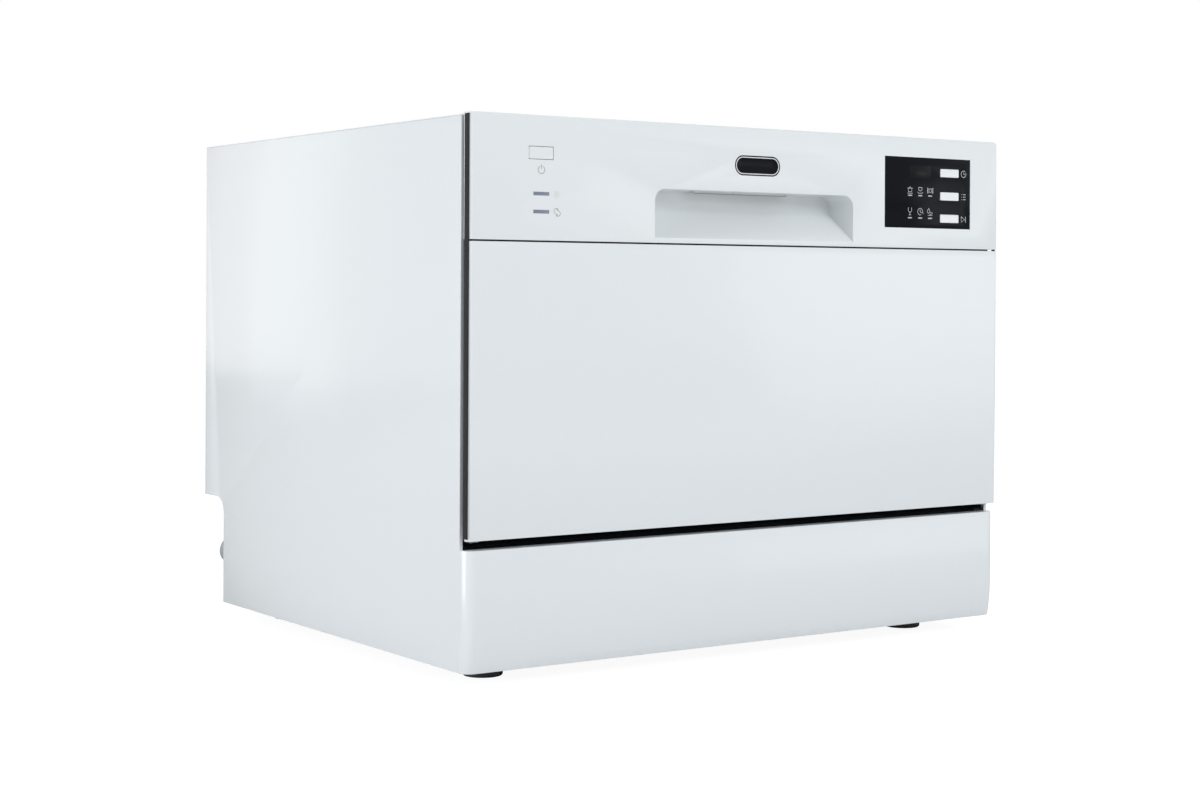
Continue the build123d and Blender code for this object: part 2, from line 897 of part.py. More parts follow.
# Door outer panel: a painted skin with a narrow fold all round its rear edge
with BuildPart() as door_outer_panel:
    with BuildSketch(Plane.YZ.offset(-half)):
        add(bowed_front(door_low, seam_z, 0, door_bow, seam_z - door_low - door_return,
                        door_return))
    extrude(amount=width)
    upright = [e for e in door_outer_panel.edges() if abs(e.tangent_at(0.5).Z) > 0.9]
    front_uprights = [e for e in upright if e.center().Y < front + door_return / 2]
    fillet(front_uprights, door_corner)
    offset(amount=-door_sheet, openings=door_outer_panel.faces().sort_by(Axis.Y)[-1])
    rim_plane = Plane.XZ.offset(-(front + door_return))
    rim_middle = (0, (door_low + seam_z) / 2)
    with BuildSketch(rim_plane):
        with Locations(rim_middle):
            Rectangle(2 * inner_half, seam_z - door_low - 2 * door_sheet)
            Rectangle(2 * (inner_half - skin_rim), seam_z - door_low - 2 * skin_rim,
                      mode=Mode.SUBTRACT)
    extrude(amount=door_sheet)
    for side in (-1, 1):
        block(sorted((side * (liner_half - arm_gap), side * inner_half)),
              (door_return - door_sheet, door_return),
              (door_low + door_sheet, liner_flange_low), mode=Mode.SUBTRACT)
        block(sorted((side * liner_half, side * (liner_half + hinge_notch_width))),
              (door_return - hinge_notch_depth, door_return),
              (door_low, door_low + door_sheet), mode=Mode.SUBTRACT)
finish(door_outer_panel, "door_outer_panel")


def grip_solid(grow, front_d):
    """Space of the grip pocket, grown on every side but the front."""
    with BuildPart() as space:
        with BuildSketch(Plane.YZ.offset(-grip_half - grow)):
            with BuildLine():
                Polyline(
                    (front + front_d, grip_top + grow),
                    (front + grip_depth + grow, grip_top + grow),
                    (front + grip_depth + grow, grip_back_low - grow / 2),
                    (front + front_d, grip_low - grow),
                    close=True,
                )
            make_face()
        extrude(amount=2 * (grip_half + grow))
        lengthwise = space.edges().filter_by(Axis.X)
        fillet(lengthwise.sort_by_distance((0, front + grip_depth + grow, grip_back_low))[0],
               grip_corner + grow)
        top_ends = space.edges().filter_by(Axis.Y).group_by(Axis.Z)[-1]
        fillet(top_ends, grip_corner + grow)
    return space.part


# Fascia: the control front above the seam, with the grip pocket and openings for the controls
keys_z = [(z - key_height / 2, z + key_height / 2) for z in key_centre_z]
board_posts = [
    (x, z)
    for board_x, board_z in ((main_board_x, main_board_z), (power_board_x, power_board_z))
    for x in (board_x[0] + board_post_inset, board_x[1] - board_post_inset)
    for z in (board_z[0] + board_post_inset, board_z[1] - board_post_inset)
]
grip_cavity = grip_solid(0, -1.0)
grip_shell = grip_solid(grip_wall, 0)
with BuildPart() as fascia:
    block((-half, half), (0, fascia_top_return), (fascia_low, height))
    fillet(fascia.edges().filter_by(Axis.Z).group_by(Axis.Y)[0], door_corner)
    fillet(fascia.edges().group_by(Axis.Y)[0].filter_by(Axis.X).sort_by(Axis.Z)[-1], fascia_round)
    offset(amount=-fascia_wall, openings=fascia.faces().sort_by(Axis.Y)[-1])
    block((-half, half), (fascia_return, fascia_top_return), (fascia_low, height - fascia_wall),
          mode=Mode.SUBTRACT)
    add(grip_shell)
    add(grip_cavity, mode=Mode.SUBTRACT)
    block((-paddle_half - slot_gap, paddle_half + slot_gap),
          (paddle_front_d - slot_gap, grip_depth), (grip_top, grip_top + grip_wall),
          mode=Mode.SUBTRACT)
    for x, z in board_posts:
        rod_y(board_post_radius, x, (fascia_wall, board_d), z)
    block([power_x[0] - button_gap, power_x[1] + button_gap], (0, fascia_wall),
          [power_z[0] - button_gap, power_z[1] + button_gap], mode=Mode.SUBTRACT)
    for z in lens_z:
        block(lens_x, (0, fascia_wall), (z - lens_height / 2, z + lens_height / 2),
              mode=Mode.SUBTRACT)
    block(display_x, (0, display_face_d + display_thickness), display_z, mode=Mode.SUBTRACT)
    for low, high in keys_z:
        block([key_x[0] - button_gap, key_x[1] + button_gap], (0, fascia_wall),
              [low - button_gap, high + button_gap], mode=Mode.SUBTRACT)
    with BuildSketch(Plane.XZ.offset(-front)):
        with Locations((0, sum(badge_z) / 2)):
            SlotOverall(2 * badge_half, badge_z[1] - badge_z[0])
    extrude(amount=-badge_depth, mode=Mode.SUBTRACT)
finish(fascia, "fascia")

# Badge plate: a bare pill with a raised rim, sunk in the fascia
with BuildPart() as badge_plate:
    with BuildSketch(Plane.XZ.offset(-front)):
        with Locations((0, sum(badge_z) / 2)):
            SlotOverall(2 * badge_half, badge_z[1] - badge_z[0])
    extrude(amount=-badge_depth)
    with BuildSketch(Plane.XZ.offset(-front)):
        with Locations((0, sum(badge_z) / 2)):
            SlotOverall(2 * (badge_half - badge_rim), badge_z[1] - badge_z[0] - 2 * badge_rim)
    extrude(amount=-badge_rim_proud, mode=Mode.SUBTRACT)
finish(badge_plate, "badge_plate")

# Display window: a dark plate with three openings for the keys
with BuildPart() as display_window:
    block(display_x, (display_face_d, display_face_d + display_thickness), display_z)
    for low, high in keys_z:
        block([key_x[0] - button_gap, key_x[1] + button_gap],
              (display_face_d, display_face_d + display_thickness),
              [low - button_gap, high + button_gap], mode=Mode.SUBTRACT)
finish(display_window, "display_window")


def push_button(x, z, face_d, travel):
    """Cap with a rounded rim, a stop flange behind the fascia and a stem towards the board."""
    with BuildPart() as button:
        block(x, (face_d, button_flange_d), z)
        fillet(button.edges().filter_by(Axis.Y), button_top_corner)
        fillet(button.faces().sort_by(Axis.Y)[0].edges(), button_top_corner / 2)
        block((x[0] - button_flange, x[1] + button_flange),
              (button_flange_d, button_flange_d + button_flange_thickness),
              (z[0] - button_flange, z[1] + button_flange))
        rod_y(button_stem, sum(x) / 2, (button_flange_d + button_flange_thickness,
              board_d - travel - running_gap), sum(z) / 2)
    return button


# Power button and the three keys beside the display
power_button = push_button(power_x, power_z, 0, button_travel)
finish(power_button, "power_button")
for name, z_range in zip(key_names, keys_z):
    key = push_button(key_x, z_range, 0, key_travel)
    finish(key, name)

# Indicator lenses: two light guides left of the grip
with BuildPart() as indicator_lenses:
    for z in lens_z:
        block(lens_x, (lens_face_d, lens_end_d), (z - lens_height / 2, z + lens_height / 2))
finish(indicator_lenses, "indicator_lenses")

# Control board: the main board behind the display and the small one behind the power button
with BuildPart() as control_board:
    for board_x, board_z in ((main_board_x, main_board_z), (power_board_x, power_board_z)):
        block(board_x, (board_d, board_d + board_thickness), board_z)
    for x, z in board_parts:
        block((x, x + board_part), (board_d + board_thickness, board_d + board_part_depth),
              (z, z + board_part))
finish(control_board, "control_board")

# Liner: the inner pan of the door, flanged to meet the outer panel and the fascia
with BuildPart() as door_liner:
    block((-liner_half, liner_half), (door_return, liner_back_d), (liner_low, liner_high))
    back_edges = door_liner.faces().sort_by(Axis.Y)[-1].edges()
    fillet(back_edges, liner_corner)
    offset(amount=-liner_sheet, openings=door_liner.faces().sort_by(Axis.Y)[0])
    block((-liner_half, liner_half), (door_return, fascia_return), (seam_z, liner_high),
          mode=Mode.SUBTRACT)
    for side in (-1, 1):
        block(sorted((side * (liner_half - liner_sheet), side * liner_flange_half)),
              (door_return, door_return + liner_flange), (liner_flange_low, seam_z))
        block(sorted((side * (liner_half - liner_sheet), side * liner_top_flange_half)),
              (fascia_return, fascia_return + liner_top_flange), (fascia_low, liner_high))
    block((-liner_top_flange_half, liner_top_flange_half),
          (fascia_return, fascia_return + liner_top_flange),
          (liner_high - liner_sheet, height - fascia_wall))
    block((-liner_half + liner_foot_inset, liner_half - liner_foot_inset),
          (door_return, door_return + liner_flange),
          (door_low + 2 * door_sheet, liner_low + liner_sheet))
    block((-dispenser_box_half, dispenser_box_half), (liner_inner_d, liner_back_d),
          dispenser_box_z, mode=Mode.SUBTRACT)
    block((-hook_half - 2, hook_half + 2), (liner_inner_d, liner_back_d),
          (hook_low - hook_slot_drop, hook_high + hook_barb + running_gap), mode=Mode.SUBTRACT)
finish(door_liner, "door_liner")

# Dispenser body: a moulded box in the liner with the detergent cup, lid guides and rinse-aid neck
face_d = liner_back_d + dispenser_plate
lid_slot = (face_d + running_gap, face_d + running_gap + lid_thickness)
guide_x = (lid_x[0], lid_x[1] + lid_travel)
with BuildPart() as dispenser_body:
    block((-dispenser_half, dispenser_half), (liner_back_d, face_d), dispenser_z)
    fillet(dispenser_body.edges().filter_by(Axis.Y), dispenser_corner)
    block((-dispenser_box_half, dispenser_box_half), (dispenser_box_front_d, liner_back_d),
          dispenser_box_z)
    with BuildSketch(Plane.XZ.offset(-(front + face_d))):
        with Locations((sum(cup_x) / 2, sum(detergent_cup_z) / 2)):
            RectangleRounded(cup_x[1] - cup_x[0], detergent_cup_z[1] - detergent_cup_z[0],
                             detergent_cup_corner)
    extrude(amount=face_d - detergent_cup_front_d, mode=Mode.SUBTRACT)
    rod_y(rinse_plug_radius + running_gap, rinse_x, (face_d - rinse_plug_depth - 1, face_d),
          rinse_z, mode=Mode.SUBTRACT)
    lip_d = (lid_slot[1] + running_gap, lid_slot[1] + running_gap + guide_lip_thickness)
    for edge_z, away in ((lid_z[0] - running_gap, -1), (lid_z[1] + running_gap, 1)):
        block(guide_x, (face_d, lip_d[1]), sorted((edge_z, edge_z + away * guide_width)))
        block(guide_x, lip_d, sorted((edge_z - away * guide_lip, edge_z)))
finish(dispenser_body, "dispenser_body")

# Detergent lid: slides sideways in its guides, with a ridge to push
with BuildPart() as detergent_lid:
    block(lid_x, lid_slot, lid_z)
    fillet(detergent_lid.edges().filter_by(Axis.Y), dispenser_corner / 4)
    ridge_x = sum(lid_x) / 2
    block((ridge_x - lid_grip, ridge_x + lid_grip), (lid_slot[1], lid_slot[1] + lid_grip),
          (lid_z[0] + 4 * guide_lip, lid_z[1] - 4 * guide_lip))
finish(detergent_lid, "detergent_lid")

# Rinse-aid cap: a plugged knob with a finger bar
with BuildPart() as rinse_aid_cap:
    cap_d = face_d + running_gap
    rod_y(rinse_cap_radius, rinse_x, (cap_d, cap_d + rinse_cap_height / 2), rinse_z)
    block((rinse_x - rinse_bar_half, rinse_x + rinse_bar_half),
          (cap_d, cap_d + rinse_cap_height), (rinse_z - grip_bar / 2, rinse_z + grip_bar / 2))
    rod_y(rinse_plug_radius, rinse_x, (face_d - rinse_plug_depth, cap_d), rinse_z)
finish(rinse_aid_cap, "rinse_aid_cap")

# Hinge arms: screwed to the liner's sides, turning on the bracket pins
with BuildPart() as hinge_arms:
    with BuildSketch(Plane.YZ.offset(liner_half)):
        with BuildLine():
            Polyline(
                (front + arm_front_d, arm_low),
                (front + arm_back_d, arm_low),
                (front + arm_back_d, arm_low + arm_back_d - arm_front_d),
                (front + arm_front_d, arm_low + arm_back_d - arm_front_d),
                close=True,
            )
        make_face()
        with Locations((front + pivot_d, pivot_z)):
            Circle(boss_radius)
        make_hull()
        with Locations((front + (arm_front_d + arm_back_d) / 2, (arm_low + arm_high) / 2)):
            Rectangle(arm_back_d - arm_front_d, arm_high - arm_low)
        with Locations((front + pivot_d, pivot_z)):
            Circle(pin_radius + bore_clearance / 2, mode=Mode.SUBTRACT)
    extrude(amount=arm_thickness)
    fillet(hinge_arms.edges().filter_by(Axis.X).group_by(Axis.Z)[-1], arm_end_radius)
    mirror(about=Plane.YZ)
finish(hinge_arms, "hinge_arms")

# Latch body: cheeks for the paddle's pins and the hook's pin, fixed to the liner
with BuildPart() as latch_body:
    block((-latch_half, latch_half), (latch_front_d, liner_inner_d),
          (latch_high - latch_plate, latch_high))
    for side in (-1, 1):
        block(sorted((side * (latch_half - latch_cheek), side * latch_half)),
              (latch_front_d, liner_inner_d), (latch_low, latch_high))
        block(sorted((side * hook_cheek_in, side * (hook_cheek_in + hook_cheek))),
              (hook_pivot_d - 2 * hook_pivot_radius, liner_inner_d),
              (hook_low - hook_cheek, latch_high))
    rod_x(paddle_pin + bore_clearance, (-latch_half, latch_half), paddle_pivot_d, paddle_pivot_z,
          mode=Mode.SUBTRACT)
    rod_x(hook_pivot_radius, (-hook_cheek_in - hook_cheek, hook_cheek_in + hook_cheek),
          hook_pivot_d, hook_pivot_z)
finish(latch_body, "latch_body")

# Latch hook: rocks on its pin, nose behind the strike, tail over the paddle's finger
with BuildPart() as latch_hook:
    with BuildSketch(Plane.YZ.offset(-hook_half)):
        with BuildLine():
            Polyline(
                (front + hook_tail_d, hook_leg_low),
                (front + hook_tail_d + hook_leg, hook_leg_low),
                (front + hook_tail_d + hook_leg, hook_tail_low),
                (front + hook_tip_d, hook_low),
                (front + hook_tip_d, hook_high),
                (front + frame_front_d + running_gap, hook_high + hook_barb),
                (front + frame_front_d + running_gap, hook_high),
                (front + hook_tail_d, hook_high),
                close=True,
            )
        make_face()
        with Locations((front + hook_pivot_d, hook_pivot_z)):
            Circle(hook_pivot_radius + hook_wall)
            Circle(hook_pivot_radius + bore_clearance / 2, mode=Mode.SUBTRACT)
    extrude(amount=2 * hook_half)
finish(latch_hook, "latch_hook")

# Latch paddle: the plate behind the top edge of the grip pocket
with BuildPart() as latch_paddle:
    block((-paddle_half, paddle_half), (paddle_front_d, paddle_front_d + paddle_thickness),
          (paddle_low, paddle_pivot_z))
    fillet(latch_paddle.edges().group_by(Axis.Z)[0].filter_by(Axis.X), paddle_thickness / 3)
    rod_x(paddle_barrel, (-paddle_half, paddle_half), paddle_pivot_d, paddle_pivot_z)
    rod_x(paddle_pin, (-latch_half, latch_half), paddle_pivot_d, paddle_pivot_z)
    finger_front_d = hook_tail_d + hook_leg + running_gap
    block((-hook_half, hook_half), (finger_front_d, finger_front_d + finger_depth),
          (paddle_pivot_z, finger_top))
finish(latch_paddle, "latch_paddle")

# Door switch: a small block beside the hook
with BuildPart() as door_switch:
    block(switch_x, switch_d, switch_z)
    fillet(door_switch.edges().filter_by(Axis.Y), small_edge)
    block(plunger_x, (switch_d[0] - plunger_reach, switch_d[0]), plunger_z)
finish(door_switch, "door_switch")

# Sump: a bowl hung under the tub, with the spray hub inside and stubs for both pumps
sump_inner = sump_radius - sump_wall
with BuildPart() as sump:
    rod_z(sump_radius, 0, sump_d, (sump_bottom, tub_underside))
    fillet(sump.edges().sort_by(Axis.Z)[0], sump_round)
    rod_z(sump_radius + sump_rim, 0, sump_d, (tub_underside - sump_rim_height, tub_underside))
    ledge_z = tub_underside - sump_ledge_drop
    rod_z(sump_inner - sump_ledge, 0, sump_d, (sump_bottom + sump_wall, ledge_z),
          mode=Mode.SUBTRACT)
    rod_z(sump_inner, 0, sump_d, (ledge_z, tub_underside), mode=Mode.SUBTRACT)
    rod_z(hub_radius, 0, sump_d, (sump_bottom + sump_wall / 2, hub_top))
    rod_z(spray_pin_radius, 0, sump_d, (hub_top, hub_top + hub_pin_height))
    rod_x(pump_inlet_radius + pipe_wall, (sump_radius - 2 * sump_wall, stub_end_x), sump_d, pump_z)
    rod_x(pump_outlet_radius + pipe_wall, (0, stub_end_x), sump_d, pump_outlet_z)
    rod_y(drain_inlet_radius + pipe_wall, 0,
          (sump_d + sump_radius - 2 * sump_wall, sump_d + sump_radius + drain_socket), drain_z)
    rod_z(hub_bore, 0, sump_d, (pump_outlet_z, hub_top - 2), mode=Mode.SUBTRACT)
    rod_x(pump_outlet_radius, (0, stub_end_x), sump_d, pump_outlet_z, mode=Mode.SUBTRACT)
    rod_x(pump_inlet_radius, (sump_inner - sump_ledge - 1, stub_end_x), sump_d, pump_z,
          mode=Mode.SUBTRACT)
    rod_y(drain_inlet_radius, 0,
          (sump_d + sump_inner - sump_ledge - 1, sump_d + sump_radius + drain_socket), drain_z,
          mode=Mode.SUBTRACT)
finish(sump, "sump")

# Fine filter: a perforated disc on the sump's ledge, round the hub and the filter cup
mesh_z = (ledge_z, ledge_z + mesh_thickness)
with BuildPart() as fine_filter:
    rod_z(sump_inner - mesh_gap, 0, sump_d, mesh_z)
    rod_z(hub_radius + mesh_gap, 0, sump_d, mesh_z, mode=Mode.SUBTRACT)
    rod_z(cup_radius + mesh_gap, 0, cup_d, mesh_z, mode=Mode.SUBTRACT)
    with BuildSketch(Plane.XY.offset(mesh_z[0])):
        with Locations((0, front + sump_d)):
            with PolarLocations(mesh_hole_ring, mesh_holes):
                Circle(mesh_hole)
    extrude(amount=mesh_thickness, mode=Mode.SUBTRACT)
finish(fine_filter, "fine_filter")

# Filter cup: a slotted cup with a rim on the fine filter and a bar to turn it by
with BuildPart() as filter_cup:
    rod_z(cup_radius, 0, cup_d, (cup_bottom, mesh_z[1]))
    rod_z(cup_radius + cup_rim, 0, cup_d, (mesh_z[1], mesh_z[1] + cup_rim))
    rod_z(cup_radius - cup_wall, 0, cup_d, (cup_bottom + cup_wall, mesh_z[1] + cup_rim),
          mode=Mode.SUBTRACT)
    with Locations((0, front + cup_d, (cup_bottom + ledge_z) / 2)):
        with PolarLocations(cup_radius, cup_slots):
            Box(2 * cup_rim, cup_slot, cup_slot_share * (ledge_z - cup_bottom), mode=Mode.SUBTRACT)
    block((-cup_radius, cup_radius), (cup_d - cup_rim, cup_d + cup_rim),
          (mesh_z[1] - cup_rim, mesh_z[1] + cup_handle))
finish(filter_cup, "filter_cup")

# Heater: a ring in the bottom of the tub, its two legs through the floor to a terminal plate
with BuildPart() as heater:
    heater_start = degrees(asin(heater_gap / heater_radius))
    with BuildLine() as ring:
        CenterArc((0, front + sump_d, heater_z), heater_radius, -90 + heater_start,
                  360 - 2 * heater_start)
    with BuildSketch(Plane(ring.wire() @ 0, z_dir=ring.wire() % 0)):
        Circle(heater_tube)
    sweep()
    for side in (-1, 1):
        rod_z(heater_tube, side * heater_gap, heater_leg_d, (heater_leg_bottom, heater_z))
        with Locations((side * heater_gap, front + heater_leg_d, heater_z)):
            Sphere(heater_tube)
    block((-2 * heater_gap, 2 * heater_gap), (heater_leg_d - heater_gap, heater_leg_d + heater_gap),
          (tub_underside - heater_plate, tub_underside))
finish(heater, "heater")

# Spray arm: a hollow two-armed bar that spins on the hub's pin, with jets along the top
spray_top = spray_low + spray_thickness
with BuildPart() as spray_arm:
    with BuildSketch(Plane.XY.offset(spray_low)):
        with Locations((0, front + sump_d)):
            Circle(spray_width / 2)
        with Locations(*[(side * (spray_reach - spray_tip), front + sump_d) for side in (-1, 1)]):
            Circle(spray_tip)
        make_hull()
    extrude(amount=spray_thickness)
    fillet(spray_arm.faces().sort_by(Axis.Z)[-1].edges(), spray_round)
    rod_z(spray_hub_radius, 0, sump_d, (spray_low, spray_top + spray_dome))
    fillet(spray_arm.faces().sort_by(Axis.Z)[-1].edges(), spray_round)
    rod_z(hub_radius + running_gap, 0, sump_d, (spray_low, hub_top + running_gap),
          mode=Mode.SUBTRACT)
    rod_z(spray_pin_radius + bore_clearance, 0, sump_d,
          (spray_low, hub_top + hub_pin_height + running_gap), mode=Mode.SUBTRACT)
    for side in (-1, 1):
        for step in range(jet_count):
            x = side * (spray_hub_radius + jet_first + jet_pitch * step)
            rod_z(jet_radius, x, sump_d, (spray_top - jet_depth, spray_top), mode=Mode.SUBTRACT)
finish(spray_arm, "spray_arm")

# Wash pump: volute and motor on one axis, its pipes pushed into the sump's stubs
volute_x = (pump_x - pump_length / 2, pump_x + pump_length / 2)
pipe_start_x = sump_radius + 2 * pipe_wall
with BuildPart() as wash_pump:
    rod_x(pump_radius, volute_x, sump_d, pump_z)
    fillet(wash_pump.edges().filter_by(GeomType.CIRCLE), pump_wall)
    block(volute_x, (sump_d - pump_outlet_radius - pipe_wall, sump_d + pump_outlet_radius
          + pipe_wall), (pump_z, pump_outlet_z + pump_outlet_radius + pipe_wall))
    rod_x(pump_outlet_radius, (pipe_start_x, volute_x[0]), sump_d, pump_outlet_z)
    rod_x(pump_inlet_radius, (pipe_start_x, volute_x[0]), sump_d, pump_z)
    rod_x(motor_radius, (volute_x[1], volute_x[1] + motor_length), sump_d, pump_z)
    fillet(wash_pump.faces().sort_by(Axis.X)[-1].edges(), pump_wall)
    rod_x(pump_radius - pump_wall, (volute_x[0] + pump_wall, volute_x[1] - pump_wall), sump_d,
          pump_z, mode=Mode.SUBTRACT)
    rod_x(shaft_radius + bore_clearance, (volute_x[1] - pump_wall, volute_x[1] + shaft_depth + 1),
          sump_d, pump_z, mode=Mode.SUBTRACT)
    rod_x(pump_inlet_radius - pipe_wall, (pipe_start_x, volute_x[0] + pump_wall), sump_d, pump_z,
          mode=Mode.SUBTRACT)
    rod_x(pump_outlet_radius - pipe_wall, (pipe_start_x, pump_x), sump_d, pump_outlet_z,
          mode=Mode.SUBTRACT)
    rod_z(pump_outlet_radius - pipe_wall, pump_x, sump_d,
          (pump_z + pump_radius - 2 * pump_wall, pump_outlet_z), mode=Mode.SUBTRACT)
    block((pump_x + pump_length, pump_x + 2 * pump_length),
          (sump_d - pump_length / 2, sump_d + pump_length / 2),
          (tray_floor, pump_z - motor_radius + pump_wall))
finish(wash_pump, "wash_pump")


def vaned_wheel(radius, thickness, vanes, shaft):
    """Pump wheel lying flat: a disc with straight vanes on top and a shaft below."""
    with BuildPart() as wheel:
        Cylinder(radius, thickness / 4, align=(Align.CENTER, Align.CENTER, Align.MIN))
        Cylinder(radius / 4, thickness, align=(Align.CENTER, Align.CENTER, Align.MIN))
        with PolarLocations(vane_place * radius, vanes):
            Box(vane_length * radius, vane_thickness, thickness,
                align=(Align.CENTER, Align.CENTER, Align.MIN))
        Cylinder(shaft_radius, shaft, align=(Align.CENTER, Align.CENTER, Align.MAX))
    return wheel.part


# Wash impeller: faces the inlet, its shaft running back into the motor
impeller_back_x = volute_x[1] - pump_wall - impeller_gap
with BuildPart() as wash_impeller:
    with Locations(Location((impeller_back_x, front + sump_d, pump_z), (0, -90, 0))):
        add(vaned_wheel(impeller_radius, impeller_thickness, impeller_vanes,
                        shaft_depth + impeller_gap))
finish(wash_impeller, "wash_impeller")

# Drain pump: behind the sump, with its outlet to the left
drain_volute_d = (drain_pump_d - drain_pump_length / 2, drain_pump_d + drain_pump_length / 2)
drain_pipe_d = sump_d + sump_radius + pipe_wall
with BuildPart() as drain_pump:
    rod_y(drain_pump_radius, 0, drain_volute_d, drain_z)
    fillet(drain_pump.edges().filter_by(GeomType.CIRCLE), pump_wall / 2)
    rod_y(drain_motor_radius, 0, (drain_volute_d[1], drain_volute_d[1] + drain_motor_length),
          drain_z)
    rod_y(drain_inlet_radius, 0, (drain_pipe_d, drain_volute_d[0]), drain_z)
    rod_x(hose_bore, (-drain_pump_radius - drain_stub, 0), drain_pump_d, drain_z)
    rod_y(drain_pump_radius - pump_wall, 0,
          (drain_volute_d[0] + pump_wall, drain_volute_d[1] - pump_wall), drain_z,
          mode=Mode.SUBTRACT)
    rod_y(drain_inlet_radius - pipe_wall, 0, (drain_pipe_d, drain_volute_d[0] + pump_wall),
          drain_z, mode=Mode.SUBTRACT)
    rod_x(hose_bore - pipe_wall, (-drain_pump_radius - drain_stub, -drain_pump_radius / 2),
          drain_pump_d, drain_z, mode=Mode.SUBTRACT)
    rod_y(shaft_radius + bore_clearance, 0,
          (drain_volute_d[1] - pump_wall, drain_volute_d[1] + drain_motor_length / 2), drain_z,
          mode=Mode.SUBTRACT)
finish(drain_pump, "drain_pump")

# Drain impeller
drain_back_d = drain_volute_d[1] - pump_wall - impeller_gap
drain_shaft = drain_motor_length / 2 + pump_wall + impeller_gap - 1
with BuildPart() as drain_impeller:
    with Locations(Location((0, front + drain_back_d, drain_z), (90, 0, 0))):
        add(vaned_wheel(drain_impeller_radius, impeller_thickness, 4, drain_shaft))
finish(drain_impeller, "drain_impeller")

# Drain hose: from the drain pump's outlet to the spigot in the recess
hose_start_x = -drain_pump_radius - drain_stub / 3
spigot_inner_d = recess_d - 2 * sheet - spigot_tail
with BuildPart() as drain_hose:
    with BuildLine() as drain_route:
        FilletPolyline(
            (hose_start_x, front + drain_pump_d, drain_z),
            (drain_x, front + drain_pump_d, drain_z),
            (drain_x, front + spigot_inner_d + drain_stub, drain_z),
            radius=hose_bend,
        )
    with BuildSketch(Plane(drain_route.wire() @ 0, z_dir=drain_route.wire() % 0)):
        Circle(hose_radius)
        Circle(hose_bore, mode=Mode.SUBTRACT)
    sweep()
finish(drain_hose, "drain_hose")

# Drain spigot: a flanged nozzle through the recess, with a shoulder that stops the outer hose
with BuildPart() as drain_spigot:
    rod_y(hose_bore, drain_x, (spigot_inner_d, recess_d - 2 * sheet), drain_z)
    rod_y(drain_radius - drain_barb, drain_x, (recess_d - 2 * sheet, recess_d), drain_z)
    rod_y(drain_flange_radius, drain_x, (recess_d - sheet, recess_d - sheet + inlet_flange),
          drain_z)
    drain_end_d = recess_d - sheet + drain_reach
    rod_y(drain_radius + drain_barb, drain_x, (recess_d, drain_end_d - drain_push), drain_z)
    rod_y(drain_radius, drain_x, (drain_end_d - drain_push, drain_end_d), drain_z)
    rod_y(hose_bore - pipe_wall, drain_x, (spigot_inner_d, recess_d + drain_reach), drain_z,
          mode=Mode.SUBTRACT)
finish(drain_spigot, "drain_spigot")

# Inlet valve: a body through the recess with a threaded inlet behind and a coil inside the case
valve_inner_d = recess_d - 2 * sheet - inlet_inner_reach
thread_start_d = shell_depth + inlet_reach - inlet_thread_length
with BuildPart() as inlet_valve:
    rod_y(inlet_body_radius, inlet_x, (valve_inner_d, thread_start_d), inlet_z)
    rod_y(inlet_flange_radius, inlet_x, (recess_d - sheet, recess_d - sheet + inlet_flange),
          inlet_z)
    rod_y(inlet_thread_radius, inlet_x, (thread_start_d, thread_start_d + inlet_thread_length),
          inlet_z)
    chamfer(inlet_valve.faces().sort_by(Axis.Y)[-1].edges(), small_edge)
    rod_y(inlet_bore, inlet_x, (thread_start_d, thread_start_d + inlet_thread_length), inlet_z,
          mode=Mode.SUBTRACT)
    block((inlet_x - coil_size / 2, inlet_x + coil_size / 2),
          (valve_inner_d, valve_inner_d + coil_size),
          (inlet_z, inlet_z + inlet_body_radius + coil_size))
    rod_y(hose_bore, inlet_x, (valve_inner_d - drain_stub, valve_inner_d), inlet_z)
finish(inlet_valve, "inlet_valve")

# Air break: a flat moulded box clipped beside the tub, which lets the water in high up
air_half = (-tub_half - tub_sheet - air_thickness, -tub_half - tub_sheet)
air_middle_x = sum(air_half) / 2
with BuildPart() as air_break:
    block(air_half, (air_front_d, air_back_d), (air_low, air_high))
    fillet(air_break.edges().filter_by(Axis.X), tub_corner / 2)
    block((air_half[0] + air_wall, air_half[1] - air_wall),
          (air_front_d + air_wall, air_back_d - air_wall), (air_low + air_wall, air_high - air_wall),
          mode=Mode.SUBTRACT)
    for d in (air_front_d + air_rib_pitch, air_front_d + 2 * air_rib_pitch):
        block((air_half[0], air_half[1]), (d, d + air_wall), (air_low + air_rib_pitch, air_high))
    rod_x(air_port_radius, (air_half[1] - air_wall, -tub_half + 1), air_port_d, air_port_z)
    rod_x(air_port_radius - air_wall, (air_half[1] - 2 * air_wall, -tub_half + 1), air_port_d,
          air_port_z, mode=Mode.SUBTRACT)
    rod_z(hose_bore, air_middle_x, air_port_d, (air_low - drain_stub, air_low))
    rod_z(hose_bore - pipe_wall, air_middle_x, air_port_d, (air_low - drain_stub, air_low
          + air_wall), mode=Mode.SUBTRACT)
finish(air_break, "air_break")

# Inlet hose: from the valve forward, then up beside the tub to the air break
with BuildPart() as inlet_hose:
    with BuildLine() as inlet_route:
        FilletPolyline(
            (inlet_x, front + valve_inner_d - 1, inlet_z),
            (inlet_x, front + air_port_d + hose_run, inlet_z),
            (air_middle_x, front + air_port_d, inlet_z + hose_run),
            (air_middle_x, front + air_port_d, air_low - 1),
            radius=hose_bend,
        )
    with BuildSketch(Plane(inlet_route.wire() @ 0, z_dir=inlet_route.wire() % 0)):
        Circle(hose_radius)
        Circle(hose_bore, mode=Mode.SUBTRACT)
    sweep()
finish(inlet_hose, "inlet_hose")

